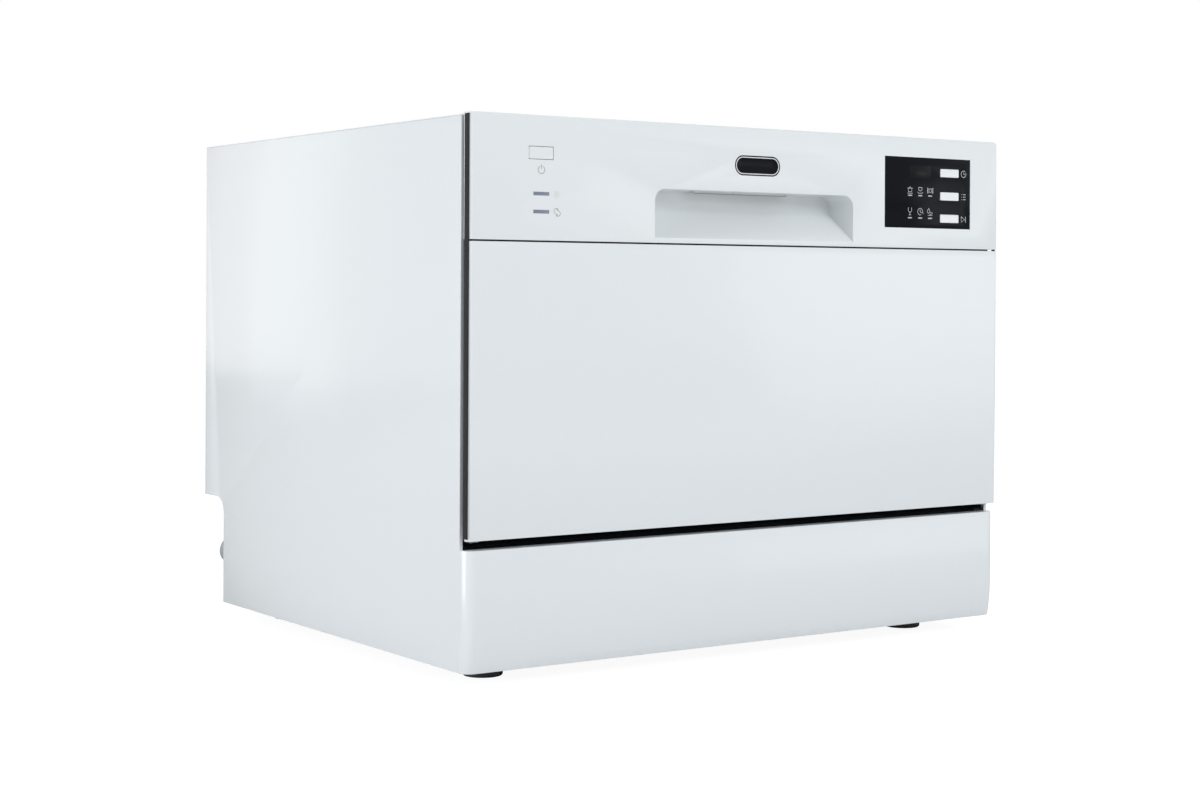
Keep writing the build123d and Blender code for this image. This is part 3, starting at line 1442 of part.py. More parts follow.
# Cord gland: the sleeve where the mains lead enters the recess
with BuildPart() as cord_gland:
    rod_y(gland_radius, gland_x, (recess_d - 3 * sheet - gland_reach / 2, recess_d + gland_reach),
          gland_z)
    rod_y(gland_flange_radius, gland_x, (recess_d - sheet, recess_d + inlet_flange), gland_z)
    chamfer(cord_gland.faces().sort_by(Axis.Y)[-1].edges(), 1.5 * small_edge)
    rod_y(gland_bore, gland_x, (recess_d - gland_reach, recess_d + gland_reach), gland_z,
          mode=Mode.SUBTRACT)
finish(cord_gland, "cord_gland")

# Softener: a tank under the tub, its neck through the tub floor
with BuildPart() as softener:
    rod_z(softener_radius, softener_x, softener_d, (softener_bottom, softener_top))
    fillet(softener.edges().filter_by(GeomType.CIRCLE), sump_round)
    rod_z(neck_radius, softener_x, softener_d, (softener_top, tub_floor + neck_rise))
    rod_z(softener_radius / 2, softener_x, softener_d, (tray_floor, softener_bottom))
    rod_z(neck_radius + pipe_wall, softener_x, softener_d, (softener_top, tub_underside))
    rod_z(softener_radius - softener_wall, softener_x, softener_d,
          (softener_bottom + softener_wall, softener_top - softener_wall), mode=Mode.SUBTRACT)
    rod_z(neck_radius - 2 * softener_wall, softener_x, softener_d,
          (softener_top - softener_wall, tub_floor + neck_rise), mode=Mode.SUBTRACT)
finish(softener, "softener")

# Salt cap: screwed into the softener's neck
salt_low = tub_floor + neck_rise + running_gap
with BuildPart() as salt_cap:
    rod_z(salt_cap_radius, softener_x, softener_d, (salt_low, salt_low + salt_cap_height / 2))
    block((softener_x - cap_bar_share * salt_cap_radius, softener_x + cap_bar_share * salt_cap_radius),
          (softener_d - grip_bar / 2, softener_d + grip_bar / 2), (salt_low, salt_low
          + salt_cap_height))
    rod_z(neck_radius - 2 * softener_wall - running_gap, softener_x, softener_d,
          (salt_low - salt_cap_plug, salt_low))
finish(salt_cap, "salt_cap")

# Float: a light dome over a stem that drops through the tub floor
float_low = tub_floor + running_gap
with BuildPart() as float_dome:
    rod_z(float_radius, float_x, float_d, (float_low, float_low + float_height))
    fillet(float_dome.edges().filter_by(GeomType.CIRCLE).sort_by(Axis.Z)[-1], float_radius / 2)
    rod_z(float_stem_radius, float_x, float_d, (float_stem_bottom, float_low))
finish(float_dome, "float")

# Rack rollers: one on each stud of the tub, four in all
for side, side_name in ((-1, "left"), (1, "right")):
    for d, end_name in ((roller_front_d, "front"), (roller_rear_d, "rear")):
        roller_x = sorted((side * roller_in_x, side * roller_out_x))
        with BuildPart() as roller:
            rod_x(roller_radius, roller_x, d, rail_z)
            fillet(roller.edges().filter_by(GeomType.CIRCLE), roller_round)
            rod_x(stud_radius + bore_clearance, roller_x, d, rail_z, mode=Mode.SUBTRACT)
            for step in range(roller_holes):
                angle = step * 2 * pi / roller_holes
                rod_x(roller_hole, roller_x, d + roller_hole_ring * cos(angle),
                      rail_z + roller_hole_ring * sin(angle), mode=Mode.SUBTRACT)
        finish(roller, f"rack_roller_{end_name}_{side_name}")


def bent_wire(points, radius, bend, close=False):
    """Wire of round section: its straight runs and its bends, end to end."""
    with BuildLine() as route:
        FilletPolyline(*points, radius=bend, close=close)
    runs = []
    for edge in route.edges():
        with BuildPart() as run:
            with BuildSketch(Plane(edge @ 0, z_dir=edge % 0)):
                Circle(radius)
            sweep(path=edge)
        runs.append(run.part)
    return runs


# Rack: bent wires laid across each other and welded where they touch, a rim on their ends,
# rows of plate tines and a channel rail on each side. Each run and bend of a wire, and each
# strip of a rail, is a solid of its own, which leaves the room between them open.

rack_half = stud_tip_x - rail_side_gap - rail_sheet - wire
rack_rear_d = rail_back_d - frame_wire
floor_half = rack_half - wire_bend
wire_spread = 2 * floor_half / (floor_wires_along - 1)
cross_first_d = rack_slope_back_d + wire_bend
cross_step = (rack_rear_d - wire_bend - cross_first_d) / (floor_wires_across - 1)
cross_z = rack_floor + 2 * wire
wire_top = rack_top - frame_wire
rack_pieces = []
for step in range(floor_wires_along):
    x = -floor_half + step * wire_spread
    rack_pieces += bent_wire(
        [
            (x, front + rack_front_d + wire, wire_top),
            (x, front + rack_front_d + wire, rack_front_low),
            (x, front + rack_slope_back_d, rack_floor),
            (x, front + rack_rear_d, rack_floor),
            (x, front + rack_rear_d, wire_top),
        ],
        wire, wire_bend)
for step in range(floor_wires_across):
    y = front + cross_first_d + step * cross_step
    rack_pieces += bent_wire(
        [(-rack_half, y, wire_top), (-rack_half, y, cross_z), (rack_half, y, cross_z),
         (rack_half, y, wire_top)],
        wire, wire_bend)
rack_pieces += bent_wire(
    [
        (-rack_half, front + rack_front_d + wire, rack_top),
        (rack_half, front + rack_front_d + wire, rack_top),
        (rack_half, front + rack_rear_d, rack_top),
        (-rack_half, front + rack_rear_d, rack_top),
    ],
    frame_wire, 2 * wire_bend, close=True)
with BuildPart() as shelf_clips:
    for d in shelf_clip_d:
        block((-rack_half - clip_half, -rack_half + clip_half), (d, d + clip_length),
              (rack_top + frame_wire, shelf_z + shelf_rod + clip_half))
        rod_y(shelf_rod + bore_clearance, -rack_half, (d, d + clip_length), shelf_z,
              mode=Mode.SUBTRACT)
rail_d = (rack_front_d + wire_bend, rail_back_d - wire_bend)
rail_in = roller_radius + rail_gap
for side in (-1, 1):
    web_x = sorted((side * (rack_half + wire), side * (rack_half + wire + rail_sheet)))
    lip_x = sorted((side * (rack_half + wire + rail_sheet), side * (roller_out_x + 1)))
    for strip_x, strip_z in (
        (web_x, (rail_z - rail_in - rail_sheet, rail_z + rail_in + rail_sheet)),
        (lip_x, (rail_z - rail_in - rail_sheet, rail_z - rail_in)),
        (lip_x, (rail_z + rail_in, rail_z + rail_in + rail_sheet)),
    ):
        with BuildPart() as rail_strip:
            block(strip_x, rail_d, strip_z)
        rack_pieces.append(rail_strip.part)
with BuildPart() as tine_rods:
    for row_d in tine_row_d:
        rod_x(wire, (tine_first_x - wire_bend, tine_last_x + wire_bend), row_d, cross_z)
with BuildPart() as tines:
    with BuildSketch(Plane.XY.offset(cross_z + wire)):
        with Locations(*[(tine_first_x + column * tine_pitch_x, front + row_d)
                         for row_d in tine_row_d for column in range(tines_per_row)]):
            Circle(wire)
    extrude(amount=rack_floor + tine_height - cross_z - wire)
    fillet(tines.faces().sort_by(Axis.Z)[-3 * tines_per_row:].edges(), tine_round)
rack = gather([*rack_pieces, shelf_clips.part, tine_rods.part, tines.part], "rack")

# Cup shelf: a wire shelf along the left side that folds up against the wall
shelf_front_d = (rack_front_d + rack_rear_d - shelf_length) / 2
shelf_rear_d = shelf_front_d + shelf_length
with BuildPart() as cup_shelf:
    rod_y(shelf_rod, -rack_half, (shelf_front_d, shelf_rear_d), shelf_z)
    rod_y(shelf_rod, -rack_half + shelf_depth, (shelf_front_d, shelf_rear_d), shelf_z)
    shelf_pitch = (shelf_length - 2 * shelf_rod) / (shelf_wires - 1)
    for step in range(shelf_wires):
        rod_x(wire, (-rack_half, -rack_half + shelf_depth),
              shelf_front_d + shelf_rod + step * shelf_pitch, shelf_z)
finish(cup_shelf, "cup_shelf")

# Cutlery basket: slotted walls, dividers and a carrying bow on a floor, snapped together
cutlery_bottom = cross_z + wire + running_gap
cutlery_top = cutlery_bottom + cutlery_height
wall_z = (cutlery_bottom + cutlery_wall, cutlery_top)
basket_x = (cutlery_x, cutlery_x + cutlery_width)
basket_d = (cutlery_front_d, cutlery_front_d + cutlery_length)
long_d = (basket_d[0] + basket_corner, basket_d[1] - basket_corner)
end_x = (basket_x[0] + basket_corner, basket_x[1] - basket_corner)
middle_x = sum(basket_x) / 2
bow_d = (basket_d[0] + bow_inset, basket_d[1] - bow_inset)
bow_x = (middle_x - bow_half, middle_x + bow_half)
bow_low = cutlery_bottom + bow_low_share * cutlery_height
bow_high = cutlery_top + bow_rise
divider_top = cutlery_bottom + divider_share * cutlery_height
with BuildPart() as basket_shell:
    block(basket_x, basket_d, (cutlery_bottom, cutlery_top))
    fillet(basket_shell.edges().filter_by(Axis.Z), basket_corner)
    offset(amount=-cutlery_wall, openings=basket_shell.faces().sort_by(Axis.Z)[-1])


def basket_share(x, d, z):
    """The share of the basket's shell that lies between these limits."""
    with BuildPart() as share:
        add(basket_shell.part)
        block(x, d, z, mode=Mode.INTERSECT)
    return share.part


basket_pieces = [basket_share(basket_x, basket_d, (cutlery_bottom, wall_z[0]))]
for corner_x in ((basket_x[0], end_x[0]), (end_x[1], basket_x[1])):
    for corner_d in ((basket_d[0], long_d[0]), (long_d[1], basket_d[1])):
        basket_pieces.append(basket_share(corner_x, corner_d, wall_z))
for end_d in ((basket_d[0], long_d[0]), (long_d[1], basket_d[1])):
    basket_pieces.append(basket_share(end_x, end_d, wall_z))
slot_count = int(cutlery_length / slot_pitch) - 1
for long_x in ((basket_x[0], middle_x), (middle_x, basket_x[1])):
    with BuildPart() as long_wall:
        add(basket_share(long_x, long_d, wall_z))
        for step in range(slot_count):
            d = basket_d[0] + (step + 1) * cutlery_length / (slot_count + 1)
            if long_d[0] < d - slot_half and d + slot_half < long_d[1]:
                block(basket_x, (d - slot_half, d + slot_half),
                      (cutlery_bottom + slot_low, cutlery_top - slot_low), mode=Mode.SUBTRACT)
    basket_pieces.append(long_wall.part)
with BuildPart() as dividers:
    for step in range(1, cutlery_cells):
        d = basket_d[0] + step * cutlery_length / cutlery_cells
        block((basket_x[0] + cutlery_wall, basket_x[1] - cutlery_wall),
              (d - cutlery_wall / 2, d + cutlery_wall / 2), (wall_z[0], divider_top))
    block(bow_x, bow_d, (bow_low, bow_high), mode=Mode.SUBTRACT)
basket_pieces.append(dividers.part)
for bar_d, bar_z in (
    (bow_d, (bow_low, divider_top)),
    ((bow_d[0], bow_d[0] + 2 * bow_half), (divider_top, bow_high - 2 * bow_half)),
    ((bow_d[1] - 2 * bow_half, bow_d[1]), (divider_top, bow_high - 2 * bow_half)),
    (bow_d, (bow_high - 2 * bow_half, bow_high)),
):
    with BuildPart() as bar:
        block(bow_x, bar_d, bar_z)
    basket_pieces.append(bar.part)
cutlery_basket = gather(basket_pieces, "cutlery_basket")
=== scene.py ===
"""Countertop dishwasher with a drop-down door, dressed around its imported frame."""
import math

import bmesh
import bpy
from mathutils import Matrix, Vector


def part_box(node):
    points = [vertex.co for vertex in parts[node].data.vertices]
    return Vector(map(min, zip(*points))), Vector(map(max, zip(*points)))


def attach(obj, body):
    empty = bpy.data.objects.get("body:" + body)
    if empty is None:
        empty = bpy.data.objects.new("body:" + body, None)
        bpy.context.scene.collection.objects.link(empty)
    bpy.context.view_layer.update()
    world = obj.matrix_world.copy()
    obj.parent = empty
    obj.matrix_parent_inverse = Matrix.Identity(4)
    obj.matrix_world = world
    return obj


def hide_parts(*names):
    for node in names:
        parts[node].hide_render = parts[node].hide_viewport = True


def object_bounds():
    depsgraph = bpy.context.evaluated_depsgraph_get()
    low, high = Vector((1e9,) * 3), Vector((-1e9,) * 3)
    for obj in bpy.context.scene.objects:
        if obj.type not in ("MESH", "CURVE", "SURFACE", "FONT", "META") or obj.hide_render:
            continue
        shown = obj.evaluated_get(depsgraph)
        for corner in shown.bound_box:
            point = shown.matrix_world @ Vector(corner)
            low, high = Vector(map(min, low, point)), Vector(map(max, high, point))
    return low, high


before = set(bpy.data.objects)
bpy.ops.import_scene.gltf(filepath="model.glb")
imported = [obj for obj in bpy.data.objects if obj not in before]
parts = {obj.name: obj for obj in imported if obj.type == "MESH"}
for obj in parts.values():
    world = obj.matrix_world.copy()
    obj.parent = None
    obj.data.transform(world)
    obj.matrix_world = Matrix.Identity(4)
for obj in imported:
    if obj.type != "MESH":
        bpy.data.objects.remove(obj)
cad_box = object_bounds()

# ---------------------------------------------------------------- camera
# The photographer stood to the left of the machine, a little above its middle, and held the
# camera level, so that upright edges stay upright.
CAMERA_PLACE = (-1.0745, -1.5962, 0.3044)
CAMERA_HEADING = math.radians(-34.29)
CAMERA_TILT = math.radians(90.0)
CAMERA_ROLL = math.radians(0.27)

scene = bpy.context.scene
camera_data = bpy.data.cameras.new("photo_camera")
camera_data.sensor_width = 36.0
camera_data.lens = 62.6
camera_data.shift_y = -0.0922
camera = bpy.data.objects.new("photo_camera", camera_data)
camera.matrix_world = (
    Matrix.Translation(CAMERA_PLACE)
    @ Matrix.Rotation(CAMERA_HEADING, 4, "Z")
    @ Matrix.Rotation(CAMERA_TILT, 4, "X")
    @ Matrix.Rotation(CAMERA_ROLL, 4, "Z")
)
scene.collection.objects.link(camera)
scene.camera = camera
scene.view_settings.view_transform = "Standard"


# ---------------------------------------------------------------- studio
# A pale floor, a bright room all round, three broad soft lamps and two cards that brighten the
# left panel and the right end of the door. The room shows white where the camera or a mirror
# looks past the machine.
ROOM_COLOR = (0.93, 0.97, 1.0, 1.0)
ROOM_LIGHT = 0.4
WHITE = (1.0, 1.0, 1.0, 1.0)
COOL = (0.97, 0.985, 1.0)
FLOOR_REACH = 6.0
PAPER_TONE = (0.88, 0.88, 0.88, 1.0)
FLOOR_GLOW = 1.3
GLOW_SHARE = 0.72


class Wire:
    """One socket of a material's nodes. Sums on it add Math nodes."""

    def __init__(self, tree, socket=None):
        self.tree = tree
        self.socket = socket

    def add(self, kind, inputs=(), output=0, **settings):
        """A new node of that kind: its settings first, then the values or links of its sockets."""
        node = self.tree.nodes.new(kind)
        for name, value in settings.items():
            setattr(node, name, value)
        for name, value in dict(inputs).items():
            if isinstance(value, Wire):
                self.tree.links.new(value.socket, node.inputs[name])
            else:
                node.inputs[name].default_value = value
        return Wire(self.tree, node.outputs[output] if node.outputs else None)

    def sum(self, operation, first, second):
        return self.add("ShaderNodeMath", {0: first, 1: second}, operation=operation)

    def __add__(self, other):
        return self.sum("ADD", self, other)

    __radd__ = __add__

    def __sub__(self, other):
        return self.sum("SUBTRACT", self, other)

    def __rsub__(self, other):
        return self.sum("SUBTRACT", other, self)

    def __mul__(self, other):
        return self.sum("MULTIPLY", self, other)

    __rmul__ = __mul__


def new_material(name):
    """An empty material and the start of its nodes."""
    material = bpy.data.materials.new(name)
    material.use_nodes = True
    material.node_tree.nodes.clear()
    return material, Wire(material.node_tree)


room = bpy.data.worlds.new("studio_room")
room.use_nodes = True
room.node_tree.nodes.clear()
room_start = Wire(room.node_tree)
seen_white = (
    room_start.add("ShaderNodeLightPath", output=0)
    + room_start.add("ShaderNodeLightPath", output=3)
    + room_start.add("ShaderNodeLightPath", output=6)
)
room_light = room_start.add("ShaderNodeBackground", {"Color": ROOM_COLOR, "Strength": ROOM_LIGHT})
room_view = room_start.add("ShaderNodeBackground", {"Color": WHITE, "Strength": 1.0})
room_mix = room_start.add("ShaderNodeMixShader", {0: seen_white, 1: room_light, 2: room_view})
room_start.add("ShaderNodeOutputWorld", {"Surface": room_mix})
scene.world = room


def area_lamp(name, place, aim, width, height, power, color):
    """A broad soft lamp at a place, turned to shine at another."""
    light = bpy.data.lights.new(name, "AREA")
    light.shape = "RECTANGLE"
    light.size = width
    light.size_y = height
    light.energy = power
    light.color = color
    lamp = bpy.data.objects.new(name, light)
    lamp.location = place
    lamp.rotation_euler = (Vector(aim) - Vector(place)).to_track_quat("-Z", "Y").to_euler()
    scene.collection.objects.link(lamp)
    return lamp


area_lamp("left_light", (-2.8, 0.3, 0.4), (-0.2, 0.0, 0.2), 1.6, 1.2, 39.0, COOL)
front_light = area_lamp("front_light", (0.15, -3.2, 1.6), (0.05, -0.2, 0.25), 1.8, 1.2, 50.0, COOL)
front_light.visible_glossy = False
area_lamp("top_light", (0.2, 0.4, 2.8), (0.0, 0.0, 0.2), 2.2, 2.2, 14.0, WHITE[:3])
area_lamp("left_mirror_card", (-1.4, 3.0, 0.5), (-0.2, 0.0, 0.2), 0.9, 2.0, 2.2, COOL)
area_lamp("right_mirror_card", (2.7, -2.8, 0.1), (0.2, -0.2, 0.15), 1.2, 1.1, 5.8, COOL)

floor_mesh = bpy.data.meshes.new("studio_floor")
floor_form = bmesh.new()
bmesh.ops.create_grid(floor_form, x_segments=1, y_segments=1, size=FLOOR_REACH)
floor_form.to_mesh(floor_mesh)
floor_form.free()
floor = bpy.data.objects.new("studio_floor", floor_mesh)
scene.collection.objects.link(floor)
floor_material, start = new_material("pale_floor")
paper = start.add("ShaderNodeBsdfDiffuse", {"Color": PAPER_TONE})
glow = start.add("ShaderNodeEmission", {"Color": WHITE, "Strength": FLOOR_GLOW})
lit_share = start.add("ShaderNodeLightPath", output=0) * GLOW_SHARE
floor_look = start.add("ShaderNodeMixShader", {0: lit_share, 1: paper, 2: glow})
start.add("ShaderNodeOutputMaterial", {"Surface": floor_look})
floor_mesh.materials.append(floor_material)

# ---------------------------------------------------------------- feet and base
# Four black moulded feet, the front two screwed in to level the machine, under a grey
# polypropylene tray that catches drips and carries the pumps. All have a fine eroded grain.
BLACK_PLASTIC = (0.035, 0.035, 0.038)
TRAY_GREY = (0.23, 0.24, 0.25)
SMUDGE = 0.25
WELD_REACH = 0.000002
SOFT_ANGLE = math.radians(32.0)


def moulded(name, color, roughness, grain=1500.0, depth=0.000012, mottle=0.05, cloud=16.0, **more):
    """A moulded or sprayed finish: faint clouds of colour, smudged gloss and a fine grain."""
    material, wire = new_material(name)
    place = wire.add("ShaderNodeTexCoord", output=3)
    clouds = wire.add("ShaderNodeTexNoise", {"Vector": place, "Scale": cloud, "Detail": 4.0})
    fine = wire.add("ShaderNodeTexNoise", {"Vector": place, "Scale": grain, "Detail": 2.0})
    deep = tuple(part * (1.0 - mottle) for part in color)
    tone = wire.add(
        "ShaderNodeMix", {0: clouds, 6: (*deep, 1.0), 7: (*color, 1.0)}, 2, data_type="RGBA"
    )
    relief = wire.add("ShaderNodeBump", {"Distance": depth, "Height": fine})
    surface = {
        "Base Color": tone,
        "Roughness": roughness + (clouds - 0.5) * (SMUDGE * roughness),
        "Normal": relief,
        **more,
    }
    body = wire.add("ShaderNodeBsdfPrincipled", surface)
    wire.add("ShaderNodeOutputMaterial", {"Surface": body})
    return material


def soft_edges():
    """Node group that shades a welded CAD mesh smooth, but keeps its sharp edges."""
    group = bpy.data.node_groups.new("soft_edges", "GeometryNodeTree")
    group.interface.new_socket("Geometry", in_out="INPUT", socket_type="NodeSocketGeometry")
    group.interface.new_socket("Geometry", in_out="OUTPUT", socket_type="NodeSocketGeometry")
    wire = Wire(group)
    mesh = wire.add("NodeGroupInput")
    faces = wire.add("GeometryNodeSetShadeSmooth", {0: mesh, 2: True}, domain="FACE")
    angle = wire.add("GeometryNodeInputMeshEdgeAngle")
    sharp = wire.add("FunctionNodeCompare", {0: angle, 1: SOFT_ANGLE}, operation="GREATER_THAN")
    edges = wire.add("GeometryNodeSetShadeSmooth", {0: faces, 1: sharp, 2: False}, domain="EDGE")
    wire.add("NodeGroupOutput", {0: edges})
    return group


SMOOTHER = soft_edges()


def dress(names, material, edge=0.0):
    """Gives CAD nodes their finish, smooth shading and, where it shows, a broken edge in metres."""
    for name in names:
        node = parts[name]
        node.data.materials.clear()
        node.data.materials.append(material)
        node.modifiers.new("weld", "WELD").merge_threshold = WELD_REACH
        if edge:
            bevel = node.modifiers.new("broken_edge", "BEVEL")
            bevel.width = edge
            bevel.segments = 2
            bevel.limit_method = "ANGLE"
            bevel.angle_limit = SOFT_ANGLE
            bevel.use_clamp_overlap = True
        node.modifiers.new("soft_edges", "NODES").node_group = SMOOTHER


foot_black = moulded("foot_black", BLACK_PLASTIC, 0.55)
tray_grey = moulded("tray_grey", TRAY_GREY, 0.5)
dress(["front_foot_left", "front_foot_right", "rear_feet"], foot_black)
dress(["base_tray"], tray_grey)

# ---------------------------------------------------------------- tub
# A deep-drawn stainless box with its welded front ring. The sheet keeps the fine lines of the
# rolling mill, which run from front to rear in the tub and across the ring and inner door.
STEEL = (0.58, 0.585, 0.59)
STREAK_LENGTH = 150.0
STREAK_TONE = 0.86
STREAK_GLOSS = 0.1
STREAK_DEPTH = 0.000006
MARK_SCALE = 9.0
MARK_GLOSS = 0.16


def stainless(name, along, roughness=0.3, lines=2600.0):
    """Rolled stainless sheet: fine lines along one axis and cloudy water marks."""
    material, wire = new_material(name)
    place = wire.add("ShaderNodeTexCoord", output=3)
    stretch = [lines, lines, lines]
    stretch["xyz".index(along)] = lines / STREAK_LENGTH
    streaks = wire.add(
        "ShaderNodeTexNoise",
        {"Vector": wire.add("ShaderNodeMapping", {"Vector": place, "Scale": stretch}),
         "Scale": 1.0, "Detail": 3.0},
    )
    marks = wire.add("ShaderNodeTexNoise", {"Vector": place, "Scale": MARK_SCALE, "Detail": 5.0})
    tone = wire.add(
        "ShaderNodeMix",
        {0: streaks, 6: (*(STREAK_TONE * part for part in STEEL), 1.0), 7: (*STEEL, 1.0)},
        2, data_type="RGBA",
    )
    relief = wire.add("ShaderNodeBump", {"Distance": STREAK_DEPTH, "Height": streaks})
    body = wire.add(
        "ShaderNodeBsdfPrincipled",
        {"Base Color": tone, "Metallic": 1.0, "Normal": relief,
         "Roughness": roughness + (marks - 0.5) * MARK_GLOSS + (streaks - 0.5) * STREAK_GLOSS},
    )
    wire.add("ShaderNodeOutputMaterial", {"Surface": body})
    return material


tub_steel = stainless("tub_steel", "y")
ring_steel = stainless("ring_steel", "x")
dress(["tub"], tub_steel)
dress(["tub_frame"], ring_steel, edge=0.0003)

# ---------------------------------------------------------------- door seals
# Black extruded rubber in a loop round the mouth of the tub, and a lip along its sill.
seal_rubber = moulded("seal_rubber", (0.03, 0.03, 0.032), 0.62, grain=900.0, depth=0.00002)
dress(["door_seals"], seal_rubber, edge=0.0006)

# ---------------------------------------------------------------- water parts
# Grey talc-filled polypropylene: the sump with its filter cup and the turning spray arm above,
# the salt cap, the float and the fittings at the rear. The mesh plate and heater are steel.
WATER_GREY = (0.36, 0.38, 0.40)
PALE_PLASTIC = (0.70, 0.71, 0.70)
water_grey = moulded("water_grey", WATER_GREY, 0.42, cloud=30.0)
mesh_steel = stainless("mesh_steel", "x", roughness=0.34, lines=1500.0)
dress(["sump", "filter_cup", "salt_cap", "float"], water_grey, edge=0.0003)
dress(["spray_arm"], water_grey, edge=0.0006)
dress(["fine_filter", "heater"], mesh_steel)
pump_black = moulded("pump_black", (0.05, 0.052, 0.058), 0.5)
dress(["wash_pump", "drain_pump", "wash_impeller", "drain_impeller"], pump_black, edge=0.0004)
bottle_white = moulded("bottle_white", PALE_PLASTIC, 0.4)
dress(["softener", "air_break"], bottle_white, edge=0.0005)

# ---------------------------------------------------------------- rear fittings
# The wall of folded galvanised sheet, with the threaded inlet, the drain nozzle and the gland
# for the lead in its recess. Hoses of black rubber run behind them to the pumps.
zinc_sheet = moulded(
    "zinc_sheet", (0.60, 0.61, 0.62), 0.34, grain=60.0, depth=0.00001, mottle=0.12, cloud=40.0,
    Metallic=0.55,
)
dress(["rear_panel"], zinc_sheet, edge=0.0003)
fitting_grey = moulded("fitting_grey", (0.33, 0.34, 0.35), 0.45)
dress(["inlet_valve", "drain_spigot"], fitting_grey, edge=0.0004)
hose_rubber = moulded("hose_rubber", (0.035, 0.035, 0.036), 0.58, grain=500.0, depth=0.00003)
dress(["inlet_hose", "drain_hose", "cord_gland"], hose_rubber)

# ---------------------------------------------------------------- rack
# Steel wire welded into a basket and dipped in grey nylon, with channel rails that run on four
# acetal rollers, a cup shelf that folds up and a moulded cutlery basket.
rack_nylon = moulded("rack_nylon", (0.47, 0.49, 0.51), 0.38, grain=700.0, depth=0.00001)
dress(["rack", "cup_shelf"], rack_nylon)
basket_grey = moulded("basket_grey", (0.40, 0.42, 0.45), 0.42)
dress(["cutlery_basket"], basket_grey, edge=0.0004)
acetal = moulded("acetal", (0.66, 0.67, 0.68), 0.35)
rollers = [name for name in parts if name.startswith("rack_roller")]
dress(rollers, acetal, edge=0.0003)

# ---------------------------------------------------------------- case
# Side panels and cover of thin sheet, with baked white enamel that keeps a faint orange peel.
# Beside the left panel's front edge runs the dark gap to the door.
enamel = moulded(
    "enamel", (0.765, 0.79, 0.805), 0.24, grain=700.0, depth=0.000006, mottle=0.012, cloud=3.0,
    **{"Coat Weight": 0.35, "Coat Roughness": 0.08},
)
dress(["left_side_panel", "right_side_panel", "top_cover"], enamel, edge=0.0004)

# ---------------------------------------------------------------- kickplate and sill
# The kickplate is moulded in white plastic to match the enamel. The sill above it is a strip of
# black gloss plastic that shows as the dark gap below the door.
case_white = moulded(
    "case_white", (0.76, 0.785, 0.80), 0.3, grain=1700.0, depth=0.000008, mottle=0.012, cloud=5.0,
    **{"Coat Weight": 0.2},
)
gloss_black = moulded(
    "gloss_black", (0.005, 0.006, 0.008), 0.16, grain=900.0, depth=0.000001, mottle=0.0,
    **{"Specular IOR Level": 0.07},
)
dress(["kickplate"], case_white, edge=0.0004)
dress(["sill_trim"], gloss_black, edge=0.0003)

# ---------------------------------------------------------------- door
# A folded enamelled skin over a stainless inner door, with the dispenser in it. Zinc-plated
# arms at both sides carry it on the pivot pins of the hinge brackets.
liner_steel = stainless("liner_steel", "x", roughness=0.26)
zinc_plate = moulded(
    "zinc_plate", (0.56, 0.57, 0.60), 0.32, grain=300.0, depth=0.000008, mottle=0.1, cloud=60.0,
    Metallic=0.9,
)
board_green = moulded("board_green", (0.02, 0.16, 0.08), 0.4)
dress(["door_outer_panel"], enamel, edge=0.0004)
dress(["door_liner"], liner_steel, edge=0.0003)
dress(["hinge_brackets", "hinge_arms", "strike_plate"], zinc_plate, edge=0.0002)
dress(["dispenser_body", "rinse_aid_cap"], water_grey, edge=0.0004)
lid_grey = moulded("lid_grey", (0.42, 0.45, 0.49), 0.36)
dress(["detergent_lid"], lid_grey, edge=0.0004)
dress(["latch_body", "latch_hook", "door_switch"], pump_black, edge=0.0002)
dress(["control_board"], board_green)

# ---------------------------------------------------------------- control panel
# The fascia is moulded in white ABS with the grip sunk in it. The display is a sheet of black
# glass-clear acrylic printed behind, and the badge a bare pill of the same black gloss.
fascia_white = moulded(
    "fascia_white", (0.765, 0.79, 0.80), 0.3, grain=1700.0, depth=0.000008, mottle=0.012,
    cloud=5.0, **{"Coat Weight": 0.2},
)
key_white = moulded("key_white", (0.83, 0.84, 0.85), 0.3)
lens_slate = moulded("lens_slate", (0.19, 0.22, 0.28), 0.22)
dress(["fascia", "latch_paddle"], fascia_white, edge=0.0004)
dress(["power_button"], fascia_white, edge=0.0002)
dress(["timer_key", "program_key", "start_key"], key_white, edge=0.0002)
dress(["indicator_lenses"], lens_slate, edge=0.0001)
dress(["display_window", "badge_plate"], gloss_black, edge=0.0001)

# ---------------------------------------------------------------- case screws
# Zinc-plated pan-head screws with a cross recess, driven through the rear folds of the panels
# and the rear lip of the cover into the rear wall.
SCREW_HEAD = 0.0038
SCREW_RISE = 0.002
SCREW_SHANK = 0.002
SCREW_LENGTH = 0.009
SCREW_SIDES = 20
HEAD_TAPER = 0.92
HEAD_ROUND = 0.0008
RECESS_HALF = 0.0005
RECESS_REACH = 0.0021
RECESS_DEPTH = 0.0011
SCREW_TURN = 0.7
PANEL_SCREWS_X = (-0.268, 0.268)
PANEL_SCREWS_Z = (0.135, 0.230, 0.325)
COVER_SCREWS_X = (-0.24, -0.08, 0.08, 0.24)


def finished_piece(name, form, body, material, replaces=()):
    """Turns a bmesh into a piece that rides on a body and takes the finish of a slot."""
    bmesh.ops.recalc_face_normals(form, faces=form.faces)
    mesh = bpy.data.meshes.new(name)
    form.to_mesh(mesh)
    form.free()
    mesh.materials.append(material)
    mesh.shade_smooth()
    mesh.set_sharp_from_angle(angle=SOFT_ANGLE)
    piece = bpy.data.objects.new(name, mesh)
    scene.collection.objects.link(piece)
    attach(piece, body)
    if replaces:
        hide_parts(*replaces)


